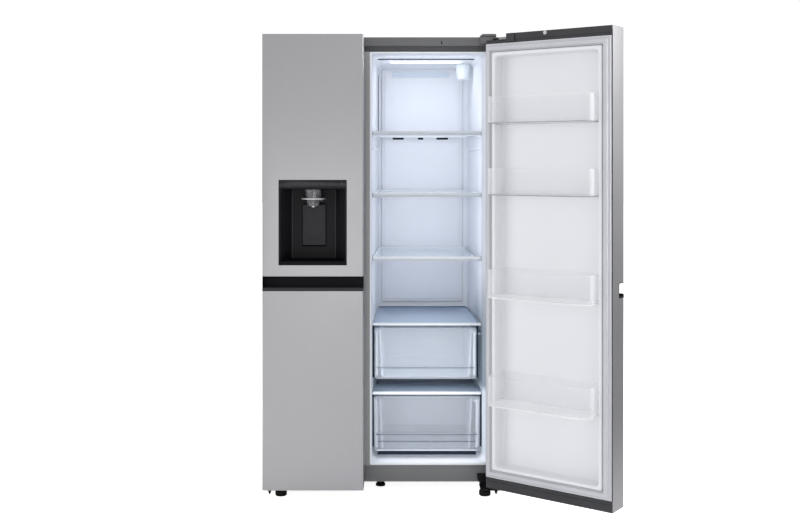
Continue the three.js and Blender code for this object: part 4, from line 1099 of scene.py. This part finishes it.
D = lambda x0, x1, z0, z1, r, y: facing(x0, x1, z0, z1, r, y, 5)
housing = loft([D(98, 281, 897, 1182.6, 3, 95), D(66.5, 315.5, 893, 1182.6, 3, 6.2), D(62.3, 319.7, 890.3, 1212.7, 2.2, 6), D(62.3, 319.7, 890.3, 1212.7, 2.4, 0.2), D(62.8, 319.2, 890.8, 1212.2, 2.4, -0.5), D(63.8, 318.2, 891.8, 1211.2, 2, -0.8),
                D(67.5, 314.5, 901.5, 1181.0, 2.5, -0.8), D(68.8, 313.2, 903.4, 1180.2, 3, -0.3), D(70, 312, 905, 1179, 4, 1.6), D(86, 294, 905, 1177.5, 5, 39), D(101, 278, 905, 1176.4, 6, 73.5), D(103.4, 275.6, 906.4, 1175, 6, 77.2), D(106.5, 272.5, 909, 1172.5, 5, 78),
                D(144.8, 237.2, 955.2, 1121.8, 6, 78), D(143.8, 238.2, 954.2, 1122.8, 6, 79), D(143.6, 238.4, 954.1, 1122.9, 6, 89.5), D(146, 236, 957, 1120, 5, 91.4)])
add("dispenser_shell", [housing], HOUSING, FZ, on_freezer, ["dispenser_housing"])
add("dispenser_band", [loft([D(62.8, 319.2, 1183.4, 1212.3, 2.2, 3.6), D(62.8, 319.2, 1183.4, 1212.3, 2.2, -0.8), D(63.3, 318.7, 1183.9, 1211.8, 2, -1.4), D(64.2, 317.8, 1184.8, 1210.9, 1.6, -1.6)])], GLOSS, FZ, on_freezer, ["dispenser_panel"])
# lighter strips where the recess's back wall meets its sides: painted highlight
add("dispenser_edge_highlights", [loft([[(u + a, y, z) for a, y in ((0, 77.4), (0.2, 76.2), (1.4, 75.8), (2.8, 76.2), (3.0, 77.4))] for z in (912, 1172)]) for u in (105.0, 271.0)], EDGE, FZ, on_freezer)
# touch keys: thin rounded outlines and one status light
keys = []
for u in (92, 124, 156, 188, 220, 252):
    keys.append(loft([D(u, u + 20, 1192, 1203, 5, -1.55), D(u, u + 20, 1192, 1203, 5, -1.72), D(u + 0.9, u + 19.1, 1192.9, 1202.1, 4.2, -1.72), D(u + 0.9, u + 19.1, 1192.9, 1202.1, 4.2, -1.55)], ring=True))
add("dispenser_keys", keys, KEY, FZ, on_freezer)
STATUS = plain("m_status_light", (0.11, 0.115, 0.12), 0.3, 0.03)
add("dispenser_status", [turn_y([(0, -1.2), (2.2, -1.2), (2.2, -1.75), (1.6, -2.0), (0, -2.0)], 303, 1198, 20)], STATUS, FZ, on_freezer)

chute = [(0, 1176), (33, 1176), (33, 1170), (31.4, 1166), (30.4, 1150), (29.6, 1144.5), (27.4, 1142.4), (26.6, 1136), (25.2, 1124), (23.6, 1115), (22.4, 1113.4), (19.5, 1113), (18, 1115), (18, 1126), (0, 1126)]
add("dispenser_spout", [turn([(r, z) for r, z in chute][::-1], 191, 38, 48, 0.75, flutes=16, depth=1.6, between=(1145, 1168))], CHUTE, FZ, on_freezer, ["dispenser_chute"])
ring = [(27.6, 1137.9), (43.5, 1137.9), (45.2, 1138.7), (46, 1140.5), (45.2, 1142.3), (43.5, 1143.1), (27.6, 1143.1)]
rl = []
for r, z in ring:
    rl.append([(191 + r * math.cos(2 * math.pi * k / 56), 38 + 0.75 * r * math.sin(2 * math.pi * k / 56), z) for k in range(56)])
add("spout_ring", [loft(rl, ring=True)], CHROME, FZ, on_freezer)
add("water_nozzle", [turn([(0, 1108), (5.2, 1108), (6.4, 1109.2), (7.2, 1113), (8.4, 1118), (8.4, 1128), (0, 1128)], 191, 30, 28)], CHROME, FZ, on_freezer)
add("spout_lamp", [turn([(0, 1132), (6, 1132), (6.6, 1133), (6.6, 1138.4), (0, 1138.4)], 223, 27, 24)], SMOKE, FZ, on_freezer)

# push pad: a dished paddle with a rolled edge, turning on its top pin
Q = lambda d, y, r: facing(146.8 + d, 235.2 - d, 961.3 + d, 1117 - d, r, y, 5)
pad = loft([Q(0.6, 75, 5), Q(0, 74.2, 5.4), Q(0, 72.0, 5.4), Q(0.8, 71.2, 5), Q(2.4, 71.0, 4.4), Q(5.4, 71.0, 3.6), Q(7, 71.8, 3.2), Q(10, 72.2, 3)])
pin = turn_x([(0, 146.6), (3.4, 146.6), (4, 147.2), (4, 234.8), (3.4, 235.4), (0, 235.4)], 75, 1115, 28)
grips = [soft_box(163, 219, 71.0, 73, z, z + 2.2, 0.8, 0.6) for z in (975, 983, 991)]
add("paddle", [pad, pin] + grips, PADDLE, "dispenser_pad", on_freezer, ["dispenser_pad"])

# drip tray with a slotted grille
tray = along_z(fillet([(76, 8), (306, 8), (280, 68), (102, 68)], 5), 905.4, 911)
holes = []
for i in range(17):
    u = 102 + i * 10.5
    holes.append(loft([flat(u, u + 5, 16, 60, 2.4, 907), flat(u, u + 5, 16, 60, 2.4, 913)]))
add("drip_grille", [tray], TRAY, FZ, on_freezer, ["drip_tray"], cuts=holes, bevel=0.5)

# --------------------------------------------------------------------- hinges


def both(shells):
    """The same shells on the other side of the refrigerator."""
    return [([(WIDTH - x, y, z) for x, y, z in v], f) for v, f in shells]


for side, flip in (("right", lambda s: s), ("left", both)):
    keep(f"top_hinge_{side}", BRACKET, 0.6)
    keep(f"bottom_hinge_{side}", BRACKET, 0.8)
    prof = fillet([(832.2, 1766.4), (894.8, 1766.4), (894.8, 1778), (842.0, 1778), (832.2, 1770.8)], [0.3, 0.3, 3.6, 4.0, 1.6], 4)
    cov = [loft([[(863.5 + (x - 863.5) * (1 - d / 31), y, 1766.4 + (z - 1766.4) * (1 - d / 14)) for x, z in prof]
                 for y, d in ((105.2, 3.2), (105.8, 1.6), (107.2, 0.5), (109.4, 0), (220.6, 0), (222.8, 0.5), (224.2, 1.6), (224.8, 3.2))])]
    cov.append(loft([rr_ for rr_ in ([(x, y, 1739.2) for x, y in rr(832.6, 894.4, 105.8, 116.2, 3, 4)], [(x, y, 1740.6) for x, y in rr(832.2, 894.8, 105.2, 116.6, 3.4, 4)], [(x, y, 1769) for x, y in rr(832.2, 894.8, 105.2, 116.6, 3.4, 4)])]))
    pocket = [block(870, 893.6, 100, 115, 1738, 1756.5), block(836, 893.5, 123, 216, 1760, 1770.5), block(870, 893.5, 108.5, 125, 1755, 1770.5)]
    add(f"hinge_cap_{side}", flip(cov[:1] + cov[1:]), COVER, "cabinet", P, [f"hinge_cover_{side}"])
    add(f"hinge_cap_screw_{side}", flip([turn([(0, 1777.2), (6.6, 1777.2), (6.6, 1779.6), (5.6, 1780.6), (3.2, 1781), (0, 1781)], 863, 190, 28)]), SCREW, "cabinet")
    bolts = []
    for x, z in ((842, 60), (872, 60), (893, 60)):
        bolts.append(turn_y([(0, 112.4), (5.2, 112.4), (5.2, 110.2), (4.4, 109.4), (0, 109.2)], x, z, 6))
    add(f"bottom_hinge_bolts_{side}", flip(bolts), BRACKET, "cabinet")

    # foot: ribbed knob on a threaded stem
    prof = [(0, 0), (17.5, 0), (20, 0.6), (21.6, 2.2), (22.3, 4.6), (22.4, 9), (22.4, 15.5), (21.5, 18.5), (18.5, 22.8), (16.4, 24.6), (10, 26.4), (8.8, 27.5), (5.8, 27.5)]
    for k in range(6):
        prof += [(5.8, 27.9 + k * 1.35), (5.2, 28.5 + k * 1.35)]
    prof += [(5.2, 36), (0, 36)]
    add(f"foot_knob_{side}", flip([turn(prof, 847, 72, 96, flutes=16, depth=1.3, between=(3, 17))]), RUBBER, f"leveling_foot_{side}", P, [f"leveling_foot_{side}"])
    wheel = [(0, 813), (3.6, 813), (3.6, 823.2), (4.4, 824), (4, 824), (11, 830.2), (16.2, 830.2), (17.6, 831.4), (18, 833), (18, 849), (17.6, 850.6), (16.2, 851.8), (11, 851.8)]
    roller = [(0, 824.1), (4, 824.1), (4, 830.4), (7, 830.2), (8, 831.6), (13.6, 831.6), (14.6, 830.2), (17, 830.4), (18, 832), (18, 850), (17, 851.6), (14.6, 851.8), (13.6, 850.4), (8, 850.4), (7, 851.8), (4, 851.6), (4, 857.9), (0, 857.9)]
    add(f"roller_wheel_{side}", flip([turn_x(roller, 800, 18, 40)]), RUBBER, f"rear_roller_{side}", P, [f"rear_roller_{side}"])

# -------------------------------------------------------------- base and rear

keep("base_pan", BRACKET, 0.6)
keep("compressor", POT)
add("compressor_fittings", [turn([(78.2, 118), (81.5, 118.8), (82, 121), (81.5, 123.2), (78.2, 124)], 235, 735, 48), soft_box(205, 265, 640, 662, 90, 150, 6, 4),
                            turn([(0, 40.8), (14, 40.8), (14, 47), (0, 47)], 165, 690, 24), turn([(0, 40.8), (14, 40.8), (14, 47), (0, 47)], 305, 690, 24)], POT, "cabinet")
keep("machine_cover", ZINC, 0.5)
# back sheet with pressed ribs
beads = []
for x in (150, 455, 760):
    beads.append(loft([D(x - 34, x + 34, 400, 1660, 30, 856.6), D(x - 31, x + 31, 403, 1657, 28, 857.6), D(x - 27, x + 27, 407, 1653, 26, 858.3), D(x - 22, x + 22, 412, 1648, 21, 858.5)]))
keep("rear_panel", ZINC, 0.5)
add("rear_beads", beads, ZINC, "cabinet")
screws = []
for x in (16, 235, 455, 675, 895):
    for z in (1748, 300, 272, 54):
        screws.append(turn_y([(0, 856.6), (5.4, 856.6), (5.4, 857.8), (4.4, 858.9), (1.3, 859.3), (0, 858.6)], x, z, 20))
for z in (520, 820, 1120, 1420):
    for x in (16, 895):
        screws.append(turn_y([(0, 856.6), (5.4, 856.6), (5.4, 857.8), (4.4, 858.9), (1.3, 859.3), (0, 858.6)], x, z, 20))
add("rear_screws", screws, SCREW, "cabinet")
pins = [soft_box(x - 1.2, x + 1.2, 839.5, 852, z - 4, z + 4, 0.5, 0.4) for x, z in ((138, 118), (152, 118), (145, 110))]
add("power_inlet", pins + [soft_box(122.5, 167.5, 837.6, 840, 99.5, 130.5, 2, 0.6)], SHADE, "cabinet")

# ------------------------------------------------------------------- the room


def backdrop():
    me = bpy.data.meshes.new("floor")
    n, s = 24, 30.0
    verts = [(-s + 2 * s * i / n, -s + 2 * s * j / n, 0.0) for j in range(n + 1) for i in range(n + 1)]
    faces = [(j * (n + 1) + i, j * (n + 1) + i + 1, (j + 1) * (n + 1) + i + 1, (j + 1) * (n + 1) + i) for j in range(n) for i in range(n)]
    me.from_pydata(verts, [], faces)
    ob = bpy.data.objects.new("floor", me)
    SCENE.collection.objects.link(ob)
    m = plain("m_floor", (0.90, 0.90, 0.90), 0.9, 0.004, grain=60, grain_strength=0.02, blotch=0.4)
    nt = m.node_tree
    shader = next(n for n in nt.nodes if n.bl_idname == "ShaderNodeBsdfPrincipled")
    old = shader.inputs["Base Color"].links[0].from_socket
    where = nt.nodes.new("ShaderNodeTexCoord")
    split = nt.nodes.new("ShaderNodeSeparateXYZ")
    side = nt.nodes.new("ShaderNodeMapRange")
    side.inputs["From Min"].default_value = 0.85
    side.inputs["From Max"].default_value = 1.9
    side.inputs["To Min"].default_value = 0.0
    side.inputs["To Max"].default_value = 1.0
    dim = nt.nodes.new("ShaderNodeMix")
    dim.data_type = "RGBA"
    nt.links.new(where.outputs["Object"], split.inputs[0])
    nt.links.new(split.outputs[0], side.inputs[0])
    nt.links.new(side.outputs[0], dim.inputs[0])
    nt.links.new(old, dim.inputs[6])
    dim.inputs[7].default_value = (0.30, 0.30, 0.30, 1)
    nt.links.new(dim.outputs[2], shader.inputs["Base Color"])
    # a lift for the eye only, so that the sweep reads as one pale field
    glow = nt.nodes.new("ShaderNodeEmission")
    glow.inputs["Color"].default_value = (1, 1, 1, 1)
    seen = nt.nodes.new("ShaderNodeLightPath")
    lift = nt.nodes.new("ShaderNodeMath")
    lift.operation = "MULTIPLY_ADD"
    lift.inputs[1].default_value = 0.78
    lift.inputs[2].default_value = 0.14
    nt.links.new(seen.outputs["Is Camera Ray"], lift.inputs[0])
    nt.links.new(lift.outputs[0], glow.inputs["Strength"])
    both_ = nt.nodes.new("ShaderNodeAddShader")
    out = next(n for n in nt.nodes if n.bl_idname == "ShaderNodeOutputMaterial")
    nt.links.new(shader.outputs[0], both_.inputs[0])
    nt.links.new(glow.outputs[0], both_.inputs[1])
    nt.links.new(both_.outputs[0], out.inputs["Surface"])
    ob.data.materials.append(m)


backdrop()


def light(name, kind, at, aim, size, power, color=(1, 1, 1), size_y=None, glossy=True, spread=None):
    d = bpy.data.lights.new(name, kind)
    d.energy = power
    d.color = color
    if kind == "AREA":
        d.shape = "RECTANGLE"
        d.size = size
        d.size_y = size_y or size
        if spread:
            d.spread = math.radians(spread)
    elif kind == "POINT":
        d.shadow_soft_size = size
    ob = bpy.data.objects.new(name, d)
    ob.location = at
    if aim is not None:
        ob.rotation_euler = (Vector(aim) - Vector(at)).to_track_quat("-Z", "Y").to_euler()
    ob.visible_camera = False
    ob.visible_glossy = glossy
    SCENE.collection.objects.link(ob)
    return ob


def world():
    w = bpy.data.worlds.new("room")
    w.use_nodes = True
    nt = w.node_tree
    nt.nodes.clear()
    out = nt.nodes.new("ShaderNodeOutputWorld")
    a = nt.nodes.new("ShaderNodeBackground")
    b = nt.nodes.new("ShaderNodeBackground")
    mix = nt.nodes.new("ShaderNodeMixShader")
    lp = nt.nodes.new("ShaderNodeLightPath")
    a.inputs["Color"].default_value = (0.80, 0.80, 0.81, 1)
    a.inputs["Strength"].default_value = 1.0
    b.inputs["Color"].default_value = (1, 1, 1, 1)
    b.inputs["Strength"].default_value = 1.05
    nt.links.new(lp.outputs["Is Camera Ray"], mix.inputs[0])
    nt.links.new(a.outputs[0], mix.inputs[1])
    nt.links.new(b.outputs[0], mix.inputs[2])
    nt.links.new(mix.outputs[0], out.inputs[0])
    SCENE.world = w


world()
light("key", "AREA", (0.2, -5.2, 0.75), (0.0, 0.0, 0.8), 4.4, 16, size_y=0.8)
light("fill", "AREA", (2.8, -3.8, 2.6), (0.1, 0.0, 1.2), 2.4, 6, size_y=2.2)
light("door_fill", "AREA", (-3.4, -2.0, 1.4), (0.35, -0.2, 0.95), 2.2, 24, size_y=2.0, glossy=False)
light("top", "AREA", (0.0, 0.3, 4.2), (0.0, 0.5, 0.0), 3.2, 6, size_y=2.6)
light("back", "AREA", (0.0, 3.4, 2.8), (0.0, 0.6, 0.9), 2.6, 30, size_y=1.8)

COOL = (0.93, 0.955, 1.0)


def at(x, y, z):
    return tuple(P(x, y, z))


light("cavity_lamp", "AREA", at(630, 440, 1692), at(630, 520, 900), 0.30, 0.35, COOL, size_y=0.05, glossy=False)
light("cavity_wash", "AREA", at(636, 216, 905), at(636, 700, 905), 0.40, 1.95, COOL, size_y=1.56, glossy=False)
light("low_wash", "AREA", at(636, 130, 372), at(636, 700, 330), 0.40, 0.45, COOL, size_y=0.50, glossy=False)
light("floor_wash", "AREA", at(636, 160, 131), at(636, 162, 100), 0.40, 0.06, COOL, size_y=0.07, glossy=False)
light("side_glow", "AREA", (3.3, -0.9, 2.4), (0.97, -0.78, 1.45), 0.8, 6.5, size_y=0.6, glossy=True, spread=50)

# --------------------------------------------------------------------- camera

cam = bpy.data.cameras.new("camera")
cam.sensor_width = 36
cam.lens = 48.78
cam.shift_y = -0.1286
cam.clip_end = 200
camera = bpy.data.objects.new("camera", cam)
camera.location = at(521.1, -4096.0, 1278.2)
camera.rotation_euler = (math.radians(90), 0, 0)
SCENE.collection.objects.link(camera)
SCENE.camera = camera

SCENE.view_settings.view_transform = "Standard"
SCENE.view_settings.look = "None"
SCENE.cycles.transparent_max_bounces = 32
SCENE.cycles.use_denoising = True
